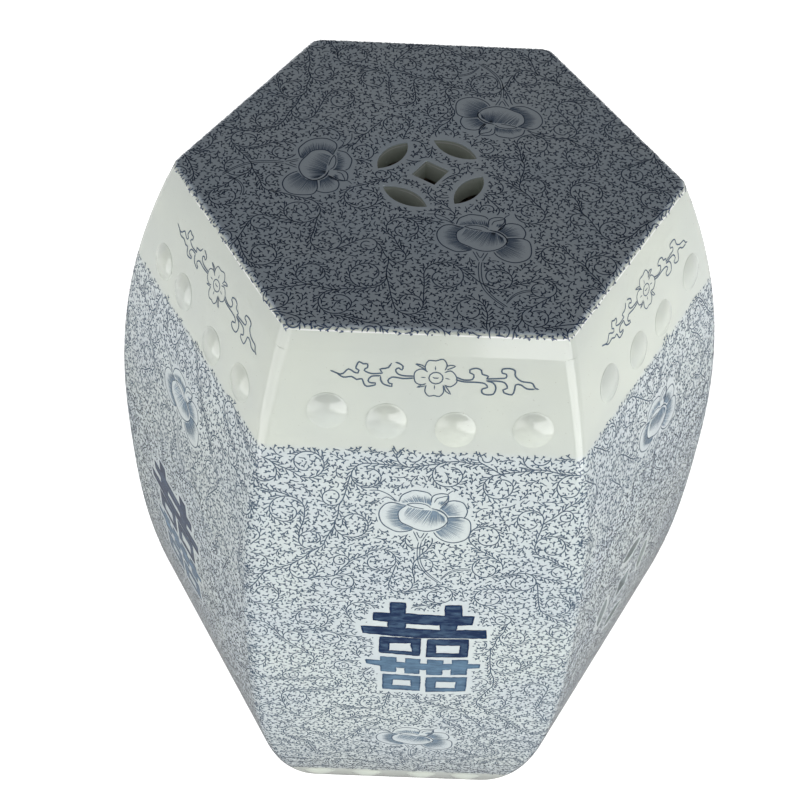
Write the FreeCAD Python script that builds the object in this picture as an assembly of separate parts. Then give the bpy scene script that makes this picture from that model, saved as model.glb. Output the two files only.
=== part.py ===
import FreeCAD, Part
import math
import os

from FreeCAD import Vector

# Hexagonal porcelain garden stool, slab built: six bulging wall slabs mitred
# together, a pierced seat slab, a ring inside the foot, coils of clay pressed
# into the inside seams, and rows of small domed bosses on the two plain bands.
# All sizes are in millimetres. The origin is the middle of the foot on the
# floor, +Z is up, and the front wall faces -Y.

# Barrel of the stool. A radius here runs from the middle to a sharp corner.
body_height = 460.0
belly_height = 249.0
belly_radius = 179.0
seat_radius = 135.0
foot_radius = 118.0
upper_power = 2.37
lower_power = 2.68
corner_round = 8.0
section_count = 13

# Thickness of the slabs, the walls measured level
wall_thickness = 9.5
seat_thickness = 12.0
seat_edge_round = 3.5

# Ring luted inside the foot
foot_ring_height = 14.0
foot_ring_width = 20.0

# Coils pressed into the inside seams
corner_coil_radius = 9.0
seat_coil_radius = 10.0

# Domed bosses. The rows lie boss_row_inset below the top of the seat and above
# the floor. They are placed by eye: each pair here is how far right of the
# middle of its wall a boss sits, and how far above the line of its row. There
# is one upper row for each pair of opposite walls, and one lower row for all.
boss_diameter = 20.0
boss_rise = 2.2
boss_row_inset = 47.0
upper_boss_rows = (
    ((-47.0, 4.6), (-18.0, 0.0), (16.0, -3.1), (54.0, -1.7)),
    ((-45.0, 3.2), (-12.0, -0.8), (18.0, -2.2), (54.5, 1.7)),
    ((-48.0, -0.8), (-22.0, -0.9), (16.5, -5.6), (49.5, -2.2)),
)
lower_boss_row = ((-53.0, 0.0), (-21.5, 0.0), (15.0, 0.0), (44.5, 0.0))

# Pierced coin in the seat: a square hole ringed by four lens slots
seat_coin = {
    "square_side": 14.5,
    "lens_length": 27.5,
    "lens_width": 11.5,
    "lens_reach": 24.0,
}
seat_coin_turn = -33.0

# Wider pierced coin in two opposite walls, how far right of the middle of its
# wall it sits and how high
wall_coin = {
    "square_side": 14.5,
    "lens_length": 25.0,
    "lens_width": 11.0,
    "lens_reach": 29.0,
}
wall_coin_turn = -7.0
wall_coin_across = -12.5
wall_coin_height = 223.5

# Where each wall slab faces and where each upright seam lies, in degrees
wall_azimuths = {
    "front": -90.0,
    "front_right": -30.0,
    "back_right": 30.0,
    "back": 90.0,
    "back_left": 150.0,
    "front_left": 210.0,
}
seam_azimuths = {
    "right": 0.0,
    "back_right": 60.0,
    "back_left": 120.0,
    "left": 180.0,
    "front_left": 240.0,
    "front_right": 300.0,
}
pierced_walls = ("front_right", "back_left")

half_side_angle = 30.0
to_flat = math.cos(math.radians(half_side_angle))
seat_underside = body_height - seat_thickness
origin = Vector(0, 0, 0)
up = Vector(0, 0, 1)


def corner_radius(z):
    """Middle to a sharp corner of the outside at height z."""
    if z > belly_height:
        end_radius = seat_radius
        reach = body_height - belly_height
        power = upper_power
    else:
        end_radius = foot_radius
        reach = belly_height
        power = lower_power
    share = abs(z - belly_height) / reach
    return belly_radius - (belly_radius - end_radius) * share**power


def inner_radius(z):
    """Middle to a corner of the hollow at height z."""
    return corner_radius(z) - wall_thickness / to_flat


def polar(radius, azimuth, z=0.0):
    angle = math.radians(azimuth)
    return Vector(radius * math.cos(angle), radius * math.sin(angle), z)


def sharp_hexagon(radius, z):
    corners = [polar(radius, azimuth, z) for azimuth in seam_azimuths.values()]
    return Part.makePolygon(corners + corners[:1])


def rounded_hexagon(radius, z):
    """Level hexagon whose corners are arcs of corner_round."""
    corners = [polar(radius, azimuth, z) for azimuth in seam_azimuths.values()]
    tangent_length = corner_round * math.tan(math.radians(half_side_angle))
    bow_depth = corner_round * (1.0 / to_flat - 1.0)
    arc_ends = []
    for index, corner in enumerate(corners):
        to_last = (corners[index - 1] - corner).normalize()
        to_next = (corners[(index + 1) % len(corners)] - corner).normalize()
        arc_ends.append((corner + to_last * tangent_length, corner + to_next * tangent_length))
    edges = []
    for index, azimuth in enumerate(seam_azimuths.values()):
        start, end = arc_ends[index]
        following = arc_ends[(index + 1) % len(corners)][0]
        edges.append(Part.Arc(start, polar(radius - bow_depth, azimuth, z), end).toShape())
        edges.append(Part.makeLine(end, following))
    return Part.Wire(edges)


def section_heights():
    return [body_height * step / (section_count - 1) for step in range(section_count)]


def outer_barrel():
    """Everything inside the glazed outside."""
    wires = [rounded_hexagon(corner_radius(z), z) for z in section_heights()]
    return Part.makeLoft(wires, True, False)


def hollow_barrel():
    """The space between the inner faces of the six walls."""
    wires = [sharp_hexagon(inner_radius(z), z) for z in section_heights()]
    return Part.makeLoft(wires, True, False)


def level_slice(low, high):
    """A block wider than the stool between two heights."""
    width = 4.0 * belly_radius
    return Part.makeBox(width, width, high - low, Vector(-width / 2, -width / 2, low))


def wedge(azimuth, low, high):
    """One sixth of the plan, from the middle out past the wall."""
    reach = 2.0 * belly_radius
    left = polar(reach, azimuth - half_side_angle, low)
    right = polar(reach, azimuth + half_side_angle, low)
    middle = Vector(0, 0, low)
    outline = Part.makePolygon([middle, left, right, middle])
    return Part.Face(outline).extrude(up * (high - low))


def lens_outline(length, width, reach):
    """Two arcs that meet in points, its middle at reach along +X."""
    tip_low = Vector(reach, -length / 2, 0)
    tip_high = Vector(reach, length / 2, 0)
    outer = Part.Arc(tip_low, Vector(reach + width / 2, 0, 0), tip_high).toShape()
    inner = Part.Arc(tip_high, Vector(reach - width / 2, 0, 0), tip_low).toShape()
    return Part.Wire([outer, inner])


def coin_cutters(coin, turn, depth):
    """Square bar and four lens bars, upright and centred on the origin."""
    side = coin["square_side"]
    bars = [Part.makeBox(side, side, depth, Vector(-side / 2, -side / 2, -depth / 2))]
    outline = lens_outline(coin["lens_length"], coin["lens_width"], coin["lens_reach"])
    for quarter in range(4):
        bar = Part.Face(outline).extrude(up * depth)
        bar.translate(up * (-depth / 2))
        bar.rotate(origin, up, 90.0 * quarter)
        bars.append(bar)
    for bar in bars:
        bar.rotate(origin, up, turn)
    return bars


def seat_slab(outer):
    """The top slab, its rim rounded over and the coin cut through it."""
    slab = outer.common(level_slice(seat_underside, body_height))
    rim = [edge for edge in slab.Edges if edge.BoundBox.ZMin > body_height - 0.01]
    slab = slab.makeFillet(seat_edge_round, rim)
    bars = coin_cutters(seat_coin, seat_coin_turn, 4.0 * seat_thickness)
    for bar in bars:
        bar.translate(up * body_height)
    return slab.cut(bars)


def wall_panels(outer, hollow):
    """Six slabs, mitred where they meet, each as tall as the seat allows."""
    tube = outer.cut(hollow)
    panels = {}
    for name, azimuth in wall_azimuths.items():
        panel = tube.common(wedge(azimuth, 0.0, seat_underside))
        if name in pierced_walls:
            panel = panel.cut(wall_coin_bars(azimuth))
        panels[name] = panel
    return panels


def wall_coin_bars(azimuth):
    """Coin cutters laid level, square to the wall that they pierce."""
    bars = coin_cutters(wall_coin, wall_coin_turn, 6.0 * wall_thickness)
    outside = corner_radius(wall_coin_height) * to_flat
    for bar in bars:
        bar.rotate(origin, Vector(0, 1, 0), 90.0)
        bar.translate(Vector(outside - wall_thickness / 2, wall_coin_across, wall_coin_height))
        bar.rotate(origin, up, azimuth)
    return bars


def foot_ring(hollow):
    """Flat ring inside the foot, its outside against the walls."""
    ring = hollow.common(level_slice(0.0, foot_ring_height))
    hole_radius = inner_radius(0.0) - foot_ring_width / to_flat
    hole = Part.Face(sharp_hexagon(hole_radius, 0.0)).extrude(up * foot_ring_height)
    return ring.cut(hole)


def seat_coil(hollow):
    """Coil in the seam between the seat and the walls, all round."""
    radius = inner_radius(seat_underside)
    pieces = []
    for azimuth in wall_azimuths.values():
        start = polar(radius, azimuth - half_side_angle, seat_underside)
        end = polar(radius, azimuth + half_side_angle, seat_underside)
        along = end - start
        # Half a side too long at each end, then trimmed to its own sixth
        rod = Part.makeCylinder(seat_coil_radius, along.Length * 2.0, start - along * 0.5, along)
        sector = wedge(azimuth, 0.0, seat_underside)
        pieces.append(rod.common(sector).common(hollow))
    return pieces[0].multiFuse(pieces[1:]).removeSplitter()


def corner_coil(azimuth, hollow, ring_coil):
    """Coil in one upright seam, from the foot ring up to the seat coil."""
    circles = []
    for z in section_heights():
        centre = polar(inner_radius(z), azimuth, z)
        circles.append(Part.Wire(Part.makeCircle(corner_coil_radius, centre, up)))
    rod = Part.makeLoft(circles, True, False)
    room = hollow.common(level_slice(foot_ring_height, seat_underside))
    return rod.common(room).cut(ring_coil)


def boss(azimuth, place, z, panel):
    """A low dome whose back is the wall that it sits on."""
    base_radius = boss_diameter / 2
    ball_radius = (base_radius**2 + boss_rise**2) / (2 * boss_rise)
    lean = (corner_radius(z + 1.0) - corner_radius(z - 1.0)) / 2.0 * to_flat
    outward = Vector(1, 0, -lean).normalize()
    seat_point = Vector(corner_radius(z) * to_flat, place, z)
    ball = Part.makeSphere(ball_radius, seat_point + outward * (boss_rise - ball_radius))
    cap_root = seat_point - outward * (boss_rise / 2)
    cap = Part.makeCylinder(boss_diameter, boss_rise * 2, cap_root, outward)
    dome = ball.common(cap)
    dome.rotate(origin, up, azimuth)
    return dome.cut(panel)


def boss_row(azimuth, z, row, panel):
    return Part.makeCompound([boss(azimuth, place, z + lift, panel) for place, lift in row])


def build():
    outer = outer_barrel()
    hollow = hollow_barrel()
    nodes = {"seat_slab": seat_slab(outer)}
    panels = wall_panels(outer, hollow)
    upper_line = body_height - boss_row_inset
    for index, (name, panel) in enumerate(panels.items()):
        azimuth = wall_azimuths[name]
        upper_row = upper_boss_rows[index % len(upper_boss_rows)]
        nodes["wall_" + name] = panel
        nodes["upper_bosses_" + name] = boss_row(azimuth, upper_line, upper_row, panel)
        nodes["lower_bosses_" + name] = boss_row(azimuth, boss_row_inset, lower_boss_row, panel)
    nodes["foot_ring"] = foot_ring(hollow)
    nodes["seat_seam_coil"] = seat_coil(hollow)
    for name, azimuth in seam_azimuths.items():
        coil = corner_coil(azimuth, hollow, nodes["seat_seam_coil"])
        nodes["corner_coil_" + name] = coil
    return nodes


os.makedirs("parts", exist_ok=True)
for node_name, shape in build().items():
    volume = round(shape.Volume / 1000.0, 1)
    print(node_name, len(shape.Solids), "solids", volume, "cm3", shape.isValid())
    shape.exportStep("parts/" + node_name + ".step")
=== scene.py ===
# %% [markdown]
# A blue and white garden stool, dressed with its glaze and its painting.
#
# The real stool is slab built: six bulging walls of porcelain clay are mitred
# together, a pierced seat closes the top, and a ring stiffens the foot. It is
# painted in cobalt, dipped in a clear glaze, and fired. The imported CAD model
# gives the size and place of every slab. This script gives each one its
# finished skin: softened edges, glazed buttons, the painted vine, and the bare
# clay inside. All sizes are in metres, +Z is up, and the front wall faces -Y.

# %% Load the frame
import math
import random

import bpy
import numpy as np
from mathutils import Matrix, Vector
from mathutils.geometry import tessellate_polygon


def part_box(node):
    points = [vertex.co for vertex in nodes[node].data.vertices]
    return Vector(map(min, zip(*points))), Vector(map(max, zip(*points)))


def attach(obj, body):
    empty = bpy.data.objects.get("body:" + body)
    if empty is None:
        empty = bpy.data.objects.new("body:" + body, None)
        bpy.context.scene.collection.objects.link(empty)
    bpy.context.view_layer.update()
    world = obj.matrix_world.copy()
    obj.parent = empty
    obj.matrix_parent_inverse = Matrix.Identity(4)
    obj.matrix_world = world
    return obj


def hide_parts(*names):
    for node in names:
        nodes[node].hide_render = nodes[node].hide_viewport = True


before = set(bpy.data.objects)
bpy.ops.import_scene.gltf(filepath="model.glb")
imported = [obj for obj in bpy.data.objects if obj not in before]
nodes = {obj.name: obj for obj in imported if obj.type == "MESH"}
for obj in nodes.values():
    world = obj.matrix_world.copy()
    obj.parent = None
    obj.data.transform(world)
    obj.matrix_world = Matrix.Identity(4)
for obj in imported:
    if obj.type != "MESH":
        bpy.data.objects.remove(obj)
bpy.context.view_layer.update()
print("CAD nodes:", len(nodes))

# %% [markdown]
# Most of the script works from the few sizes that shape the stool. The height
# and the girth come from the frame. A hexagon is measured from its middle to a
# sharp corner, which is also the length of its side, and the corners are then
# rounded by eight millimetres, as on a slab joint that has been sponged.

# %% Sizes
MM = 0.001
body_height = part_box("seat_slab")[1].z
seat_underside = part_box("seat_slab")[0].z
corner_round = 8 * MM
half_corner = math.radians(30)
to_flat = math.cos(half_corner)
round_bow = corner_round * (1 / to_flat - 1)
round_reach = corner_round * math.tan(half_corner)

belly_height = 249 * MM
belly_radius = max(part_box("wall_front_right")[1].x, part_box("wall_back_right")[1].x) + round_bow
seat_radius = 135 * MM
foot_radius = 118 * MM
upper_power = 2.37
lower_power = 2.68
wall_thickness = 9.5 * MM

wall_azimuths = {
    "front": -90,
    "front_right": -30,
    "back_right": 30,
    "back": 90,
    "back_left": 150,
    "front_left": 210,
}
pierced_walls = ("front_right", "back_left")
print("stool is", round(body_height / MM), "mm high and", round(2 * belly_radius / MM), "mm across")

# %% [markdown]
# The camera is set before anything is modelled, so that every render can be
# laid beside the photograph. Its place came from matching the seat's corners,
# the foot and the outline: it looks down by about 48 degrees from just under a
# metre. The picture is 800 pixels wide and a pinhole camera's focal length in
# pixels becomes millimetres on Blender's 36 mm sensor.

# %% Camera
picture_width = 800
focal_pixels = 1504.594
sensor_width = 36
camera_distance = 0.958901
camera_pitch = math.radians(47.665)
camera_turn = math.radians(0.816)
camera_roll = math.radians(2.887)
camera_slide_right = -0.008134
camera_slide_up = 0.035289


def place_camera():
    """A camera whose axes are built from the fitted angles."""
    backward = Vector((0, -math.cos(camera_pitch), math.sin(camera_pitch)))
    level_right = Vector((1, 0, 0))
    level_up = backward.cross(level_right)
    right = level_right * math.cos(camera_roll) + level_up * math.sin(camera_roll)
    above = level_up * math.cos(camera_roll) - level_right * math.sin(camera_roll)
    slide = right * camera_slide_right
    place = backward * camera_distance + slide + above * camera_slide_up
    axes = Matrix((right, above, backward)).transposed().to_4x4()
    turn_back = Matrix.Rotation(-camera_turn, 4, "Z")
    lift = Matrix.Translation((0, 0, body_height / 2))
    data = bpy.data.cameras.new("photo_camera")
    data.sensor_width = sensor_width
    data.lens = focal_pixels / picture_width * sensor_width
    camera = bpy.data.objects.new("photo_camera", data)
    bpy.context.scene.collection.objects.link(camera)
    camera.matrix_world = lift @ turn_back @ Matrix.Translation(place) @ axes
    bpy.context.scene.camera = camera
    return camera


camera = place_camera()
print("camera at", [round(v, 3) for v in camera.matrix_world.translation])

# %% [markdown]
# Everything on a wall, from the slab itself to the last brush stroke, is first
# laid out flat and then bent round the stool. A point on the flat sheet is how
# far it lies to the right of the wall's middle, how far up the surface from
# the belly, and how far it stands off the glaze. A lattice or a shrinkwrap
# could bend a sheet too, but a formula puts slab, buttons and ink in exactly
# the same place, and gives the true normal for a clean reflection.

# %% Bend a flat sheet round the stool
profile_points = 461
profile_heights = np.linspace(0, body_height, profile_points)


def corner_radius(z):
    """Middle to a sharp corner of the outside at height z."""
    upper = z > belly_height
    share = np.abs(z - belly_height) / np.where(upper, body_height - belly_height, belly_height)
    end_radius = np.where(upper, seat_radius, foot_radius)
    power = np.where(upper, upper_power, lower_power)
    return belly_radius - (belly_radius - end_radius) * share**power


def corner_slope(z):
    """How fast the corner radius grows with height."""
    step = 0.1 * MM
    low = np.clip(z - step, 0, body_height)
    high = np.clip(z + step, 0, body_height)
    return (corner_radius(high) - corner_radius(low)) / (high - low)


radius_steps = np.diff(corner_radius(profile_heights)) * to_flat
profile_steps = np.hypot(radius_steps, np.diff(profile_heights))
profile_lengths = np.concatenate(([0], np.cumsum(profile_steps)))
profile_lengths -= np.interp(belly_height, profile_heights, profile_lengths)


def height_at(along):
    """Height of the point that lies so far up the surface from the belly."""
    return np.interp(along, profile_lengths, profile_heights)


def along_at(height):
    """How far up the surface from the belly a height lies."""
    return float(np.interp(height, profile_heights, profile_lengths))


def flat_half(z):
    """Half the straight part of a side at height z."""
    return corner_radius(z) / 2 - round_reach


def wall_axes(azimuth):
    """A wall's right, outward and up, in the stool's frame."""
    angle = math.radians(azimuth)
    right = (-math.sin(angle), math.cos(angle), 0)
    outward = (math.cos(angle), math.sin(angle), 0)
    return np.array([right, outward, (0, 0, 1)])


def stand_up(local, azimuth):
    """Points given as right, outward and up from a wall, in the stool's frame."""
    return np.asarray(local) @ wall_axes(azimuth)


def skin_out(z, turn):
    """How far out the skin lies at height z, turned so far round a corner."""
    return corner_radius(z) * to_flat - corner_round * (1 - np.cos(turn))


def skin_normal(z, turn, side):
    """Outward normal of the glazed skin, turned so far round a corner."""
    slope = corner_slope(z) * np.cos(turn - half_corner)
    level = 1 / np.sqrt(1 + slope**2)
    return np.stack([side * np.sin(turn) * level, np.cos(turn) * level, -slope * level], axis=1)


def bend(across, along, lift, azimuth):
    """Points on the stool for points of a wall's flat sheet, and their normals."""
    z = height_at(along)
    past = np.maximum(np.abs(across) - flat_half(z), 0)
    turn = np.minimum(past / corner_round, 2 * half_corner)
    beyond = past - turn * corner_round
    side = np.sign(across)
    x = np.minimum(np.abs(across), flat_half(z)) + corner_round * np.sin(turn)
    x = side * (x + beyond * np.cos(turn))
    out = skin_out(z, turn) - beyond * np.sin(turn)
    normal = skin_normal(z, turn, side)
    local = np.stack([x, out, z], axis=1) + normal * np.asarray(lift)[:, None]
    return stand_up(local, azimuth), stand_up(normal, azimuth)


sheet_length = profile_lengths[-1] - profile_lengths[0]
print("foot to seat along the surface:", round(sheet_length / MM), "mm")

# %% [markdown]
# Operators act on whatever is selected, so a few small helpers select one
# object, apply one modifier, cut with another object, and bevel the edges that
# keep a rule. They stand for the clicks that a modeller would make. A rule is
# given both ends of every edge as arrays of points, and says which edges it
# wants.

# %% Helpers for modelling
hair = 0.01 * MM


def choose(*objects):
    bpy.ops.object.select_all(action="DESELECT")
    for obj in objects:
        obj.select_set(True)
    bpy.context.view_layer.objects.active = objects[-1]


def apply_modifier(obj, kind, **settings):
    choose(obj)
    modifier = obj.modifiers.new(kind.lower(), kind)
    for key, value in settings.items():
        setattr(modifier, key, value)
    bpy.ops.object.modifier_apply(modifier=modifier.name)


def read_points(obj):
    flat = np.empty(len(obj.data.vertices) * 3)
    obj.data.vertices.foreach_get("co", flat)
    return flat.reshape(-1, 3)


def write_points(obj, points):
    obj.data.vertices.foreach_set("co", np.ascontiguousarray(points).ravel())
    obj.data.update()


def enter_edit(obj):
    choose(obj)
    bpy.ops.object.mode_set(mode="EDIT")


def leave_edit():
    bpy.ops.object.mode_set(mode="OBJECT")


def edit_edges(obj, rule, sharpness=None):
    """Enters edit mode with only the edges selected that keep the rule.

    With a sharpness, an edge also has to be at least so sharp.
    """
    enter_edit(obj)
    bpy.ops.mesh.select_mode(type="EDGE")
    bpy.ops.mesh.select_all(action="DESELECT")
    if sharpness:
        bpy.ops.mesh.edges_select_sharp(sharpness=sharpness)
    leave_edit()
    edges = obj.data.edges
    ends = np.empty(2 * len(edges), int)
    edges.foreach_get("vertices", ends)
    wanted = rule(*read_points(obj)[ends.reshape(-1, 2).T])
    for edge, keeps_rule in zip(edges, wanted):
        edge.select = bool(keeps_rule and (edge.select or not sharpness))
    enter_edit(obj)


def bevel_edges(obj, rule, width, segments, sharpness=None, clamp=False):
    """Rounds the edges that keep the rule, clamped where they would overlap."""
    edit_edges(obj, rule, sharpness)
    bpy.ops.mesh.bevel(offset=width, segments=segments, affect="EDGES", clamp_overlap=clamp)
    leave_edit()


def cut(obj, cutter, operation="DIFFERENCE"):
    """Takes a cutter out of an object, or keeps what the two have in common."""
    apply_modifier(obj, "BOOLEAN", operation=operation, object=cutter, solver="EXACT")
    bpy.data.objects.remove(cutter)


def twin_of(obj):
    """A copy of an object with its own mesh."""
    twin = obj.copy()
    twin.data = obj.data.copy()
    bpy.context.scene.collection.objects.link(twin)
    return twin


def join_as(name, pieces):
    choose(*pieces)
    if len(pieces) > 1:
        bpy.ops.object.join()
    joined = bpy.context.object
    joined.name = name
    joined.data.name = name
    return joined


# %% [markdown]
# The pierced coin is an old pattern: a square hole ringed by four lens-shaped
# slots. A potter cuts it through the leather-hard slab with a fettling knife.
# Here a lens bar is what two long cylinders have in common, and the five bars
# together are the cutter for a Boolean modifier.

# %% Coin cutter
seat_coin = {"square": 14.5 * MM, "length": 27.5 * MM, "width": 11.5 * MM, "reach": 24 * MM}
seat_coin_turn = math.radians(-33)
wall_coin = {"square": 14.5 * MM, "length": 25 * MM, "width": 11 * MM, "reach": 29 * MM}
wall_coin_turn = math.radians(-7)
wall_coin_across = -12.5 * MM
wall_coin_height = 223.5 * MM
cylinder_sides = 120


def lens_bar(coin, depth):
    """A bar with two curved faces that meet in sharp edges, its middle on +X."""
    bow = (coin["length"] ** 2 / 4 + coin["width"] ** 2 / 4) / coin["width"]
    shift = bow - coin["width"] / 2
    halves = []
    for side in (-1, 1):
        place = (coin["reach"] + side * shift, 0, 0)
        bpy.ops.mesh.primitive_cylinder_add(
            vertices=cylinder_sides, radius=bow, depth=depth, location=place
        )
        halves.append(bpy.context.object)
    cut(halves[0], halves[1], "INTERSECT")
    choose(halves[0])
    bpy.ops.object.transform_apply()
    return halves[0]


def coin_cutter(coin, depth, place):
    """The square bar and four lens bars as one object, moved by place."""
    bpy.ops.mesh.primitive_cube_add(size=1, scale=(coin["square"], coin["square"], depth))
    bpy.ops.object.transform_apply()
    bars = [bpy.context.object]
    first = lens_bar(coin, depth)
    for quarter in range(4):
        bar = twin_of(first)
        bar.data.transform(Matrix.Rotation(math.radians(90 * quarter), 4, "Z"))
        bars.append(bar)
    bpy.data.objects.remove(first)
    cutter = join_as("coin_cutter", bars)
    cutter.data.transform(place)
    return cutter


for name, coin in (("seat", seat_coin), ("wall", wall_coin)):
    span = 2 * coin["reach"] + coin["width"]
    print(name, "coin:", round(span / MM, 1), "mm across")

# %% [markdown]
# A wall starts as a flat grid, a slab of clay rolled out on a board. Solidify
# gives it its thickness, and then every point is bent into place: the outer
# skin follows the rounded barrel, and the inner skin keeps sharp corners, with
# both ending on the mitre. The coin is cut through two opposite walls, and the
# cut edge and the foot are softened, as glaze softens them.

# %% Wall slabs
wall_columns = 50
wall_rows = 46
rounded_share = 0.2
rim_softness = 1.1 * MM
foot_softness = 1.5 * MM
rim_segments = 3
wall_cutter_depth = 6 * wall_thickness
wall_smoothing = math.radians(40)
sharp_edge = math.radians(50)
skin_tolerance = 0.06 * MM
mitre_reach = corner_round * 0.49


def bend_slab(slab, azimuth):
    """Moves each point of a flat, solid grid two units wide to its place."""
    station, climb, depth = read_points(slab).T
    low, high = along_at(0), along_at(seat_underside)
    z = height_at(low + (climb + 1) / 2 * (high - low))
    side = np.sign(station)
    inward = np.minimum(np.abs(station) / (1 - rounded_share), 1)
    turn = np.maximum(np.abs(station) - (1 - rounded_share), 0) / rounded_share * half_corner
    outer_x = side * (inward * flat_half(z) + corner_round * np.sin(turn))
    outer_out = skin_out(z, turn)
    inner_radius = corner_radius(z) - wall_thickness / to_flat
    is_outer = depth > -wall_thickness / 2
    x = np.where(is_outer, outer_x, station * inner_radius / 2)
    out = np.where(is_outer, outer_out, inner_radius * to_flat)
    write_points(slab, stand_up(np.stack([x, out, z], axis=1), azimuth))


def wall_view(points, azimuth):
    """A wall's own right, outward and up for points in the stool's frame."""
    right, outward, _ = wall_axes(azimuth)
    return points @ right, points @ outward, points[..., 2]


def on_skin(points, azimuth):
    """True for points on the wall's outer skin, and how far round they are."""
    x, out, z = wall_view(points, azimuth)
    past = np.clip(np.abs(x) - flat_half(z), 0, corner_round)
    turn = np.arcsin(past / corner_round)
    return np.abs(out - skin_out(z, turn)) < skin_tolerance, turn, np.sign(x)


def soften_edges(slab, azimuth, low, high, width):
    """Rounds the outer skin's sharp edges between two heights, not the mitres."""

    def is_near(points):
        return on_skin(points, azimuth)[0] & (points[:, 2] > low) & (points[:, 2] < high)

    def on_mitre(points):
        across = np.abs(wall_view(points, azimuth)[0])
        return across > flat_half(points[:, 2]) + mitre_reach

    def to_soften(a, b):
        return is_near(a) & is_near(b) & ~(on_mitre(a) & on_mitre(b))

    bevel_edges(slab, to_soften, width, rim_segments, sharp_edge, clamp=True)


def polish(slab, azimuth):
    """Shades the slab smooth and gives its outer skin the true normal."""
    choose(slab)
    bpy.ops.object.shade_smooth_by_angle(angle=wall_smoothing)
    mesh = slab.data
    points = read_points(slab)
    skin, turn, side = on_skin(points, azimuth)
    true_normals = stand_up(skin_normal(points[:, 2], turn, side), azimuth)
    normals = []
    for loop, corner in zip(mesh.loops, mesh.corner_normals):
        vector = corner.vector
        true = Vector(true_normals[loop.vertex_index])
        if skin[loop.vertex_index] and vector.dot(true) > 0.9:
            vector = true
        normals.append(vector[:])
    mesh.normals_split_custom_set(normals)


def make_wall(name, azimuth):
    bpy.ops.mesh.primitive_grid_add(x_subdivisions=wall_columns, y_subdivisions=wall_rows, size=2)
    slab = join_as("glazed_wall_" + name, [bpy.context.object])
    apply_modifier(slab, "SOLIDIFY", thickness=wall_thickness, offset=-1)
    bend_slab(slab, azimuth)
    if name in pierced_walls:
        outside = float(corner_radius(wall_coin_height)) * to_flat
        place = (
            Matrix.Rotation(math.radians(azimuth), 4, "Z")
            @ Matrix.Translation((outside - wall_thickness / 2, wall_coin_across, wall_coin_height))
            @ Matrix.Rotation(math.radians(90), 4, "Y")
            @ Matrix.Rotation(wall_coin_turn, 4, "Z")
        )
        cut(slab, coin_cutter(wall_coin, wall_cutter_depth, place))
        reach = wall_coin["reach"] + wall_coin["width"]
        low, high = wall_coin_height - reach, wall_coin_height + reach
        soften_edges(slab, azimuth, low, high, rim_softness)
    soften_edges(slab, azimuth, -MM, MM, foot_softness)
    polish(slab, azimuth)
    return slab


walls = {name: make_wall(name, azimuth) for name, azimuth in wall_azimuths.items()}
for name, wall in walls.items():
    print(wall.name, len(wall.data.polygons), "faces")

# %% [markdown]
# The seat slab is a six-sided cylinder primitive, a little wider below than
# above. Its upright edges are bevelled to the same eight millimetres as the
# walls', its rim is rolled over, and the small coin is cut through the middle.
# The holes get a soft lip, where the glaze pulls back and shows white.

# %% Seat slab
seat_edge_round = 3.5 * MM
corner_segments = 10
rolled_segments = 8
seat_cutter_depth = 60 * MM
seat_smoothing = math.radians(35)
lower_seat_radius = float(corner_radius(seat_underside))
seat_lean = math.atan((lower_seat_radius - seat_radius) * to_flat / (body_height - seat_underside))
rim_turn = math.pi / 2 - seat_lean
rim_inset = seat_edge_round * math.tan(rim_turn / 2)


def is_top(a, b):
    return np.minimum(a[:, 2], b[:, 2]) > body_height - hair


def is_upright(a, b):
    return np.abs(a[:, 2] - b[:, 2]) > MM


def is_coin_edge(a, b):
    furthest = np.maximum(np.hypot(a[:, 0], a[:, 1]), np.hypot(b[:, 0], b[:, 1]))
    return is_top(a, b) & (furthest < seat_coin["reach"] + seat_coin["width"])


def make_seat():
    bpy.ops.mesh.primitive_cylinder_add(
        vertices=6,
        radius=lower_seat_radius,
        depth=body_height - seat_underside,
        location=(0, 0, (seat_underside + body_height) / 2),
        rotation=(0, 0, half_corner),
    )
    seat = join_as("glazed_seat", [bpy.context.object])
    bpy.ops.object.transform_apply()
    edit_edges(seat, is_top)
    narrowing = seat_radius / lower_seat_radius
    bpy.ops.transform.resize(value=(narrowing, narrowing, 1), center_override=(0, 0, body_height))
    leave_edit()
    bevel_edges(seat, is_upright, round_reach, corner_segments)
    bevel_edges(seat, is_top, rim_inset, rolled_segments)
    place = Matrix.Translation((0, 0, body_height)) @ Matrix.Rotation(seat_coin_turn, 4, "Z")
    cut(seat, coin_cutter(seat_coin, seat_cutter_depth, place))
    bevel_edges(seat, is_coin_edge, rim_softness, rim_segments, clamp=True)
    bpy.ops.object.shade_smooth_by_angle(angle=seat_smoothing)
    return seat


seat = make_seat()
seat_top = max(read_points(seat)[:, 2])
print("seat:", len(seat.data.polygons), "faces, top at", round(seat_top / MM, 2), "mm")

# %% [markdown]
# A row of low buttons runs along each plain band, pressed from a small mould
# and stuck on with slip. One button is the top of a sphere whose edge is
# flared out into a fillet, where glaze pools round it. It is modelled once,
# flat, then copied to each place and bent on with the wall. The places are
# uneven, because the real ones were set by eye: each is given as millimetres
# right of the wall's middle and above the line of the row.

# %% Buttons
button_radius = 10 * MM
button_rise = 2.2 * MM
button_inset = 47 * MM
button_sides = 36
button_smoothing = math.radians(50)
button_foot = 0.4 * MM
button_flare = (
    (1.015, 0.05 * MM),
    (1.02, 0.06 * MM),
    (1.024, 0.06 * MM),
    (1.028, 0.057 * MM),
    (1.033, 0.052 * MM),
    (1.0, 0.6 * MM),
)
upper_button_rows = (
    ((-47, 4.6), (-18, 0), (16, -3.1), (54, -1.7)),
    ((-45, 3.2), (-12, -0.8), (18, -2.2), (54.5, 1.7)),
    ((-48, -0.8), (-22, -0.9), (16.5, -5.6), (49.5, -2.2)),
)
lower_button_row = ((-53, 0), (-21.5, 0), (15, 0), (44.5, 0))


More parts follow.
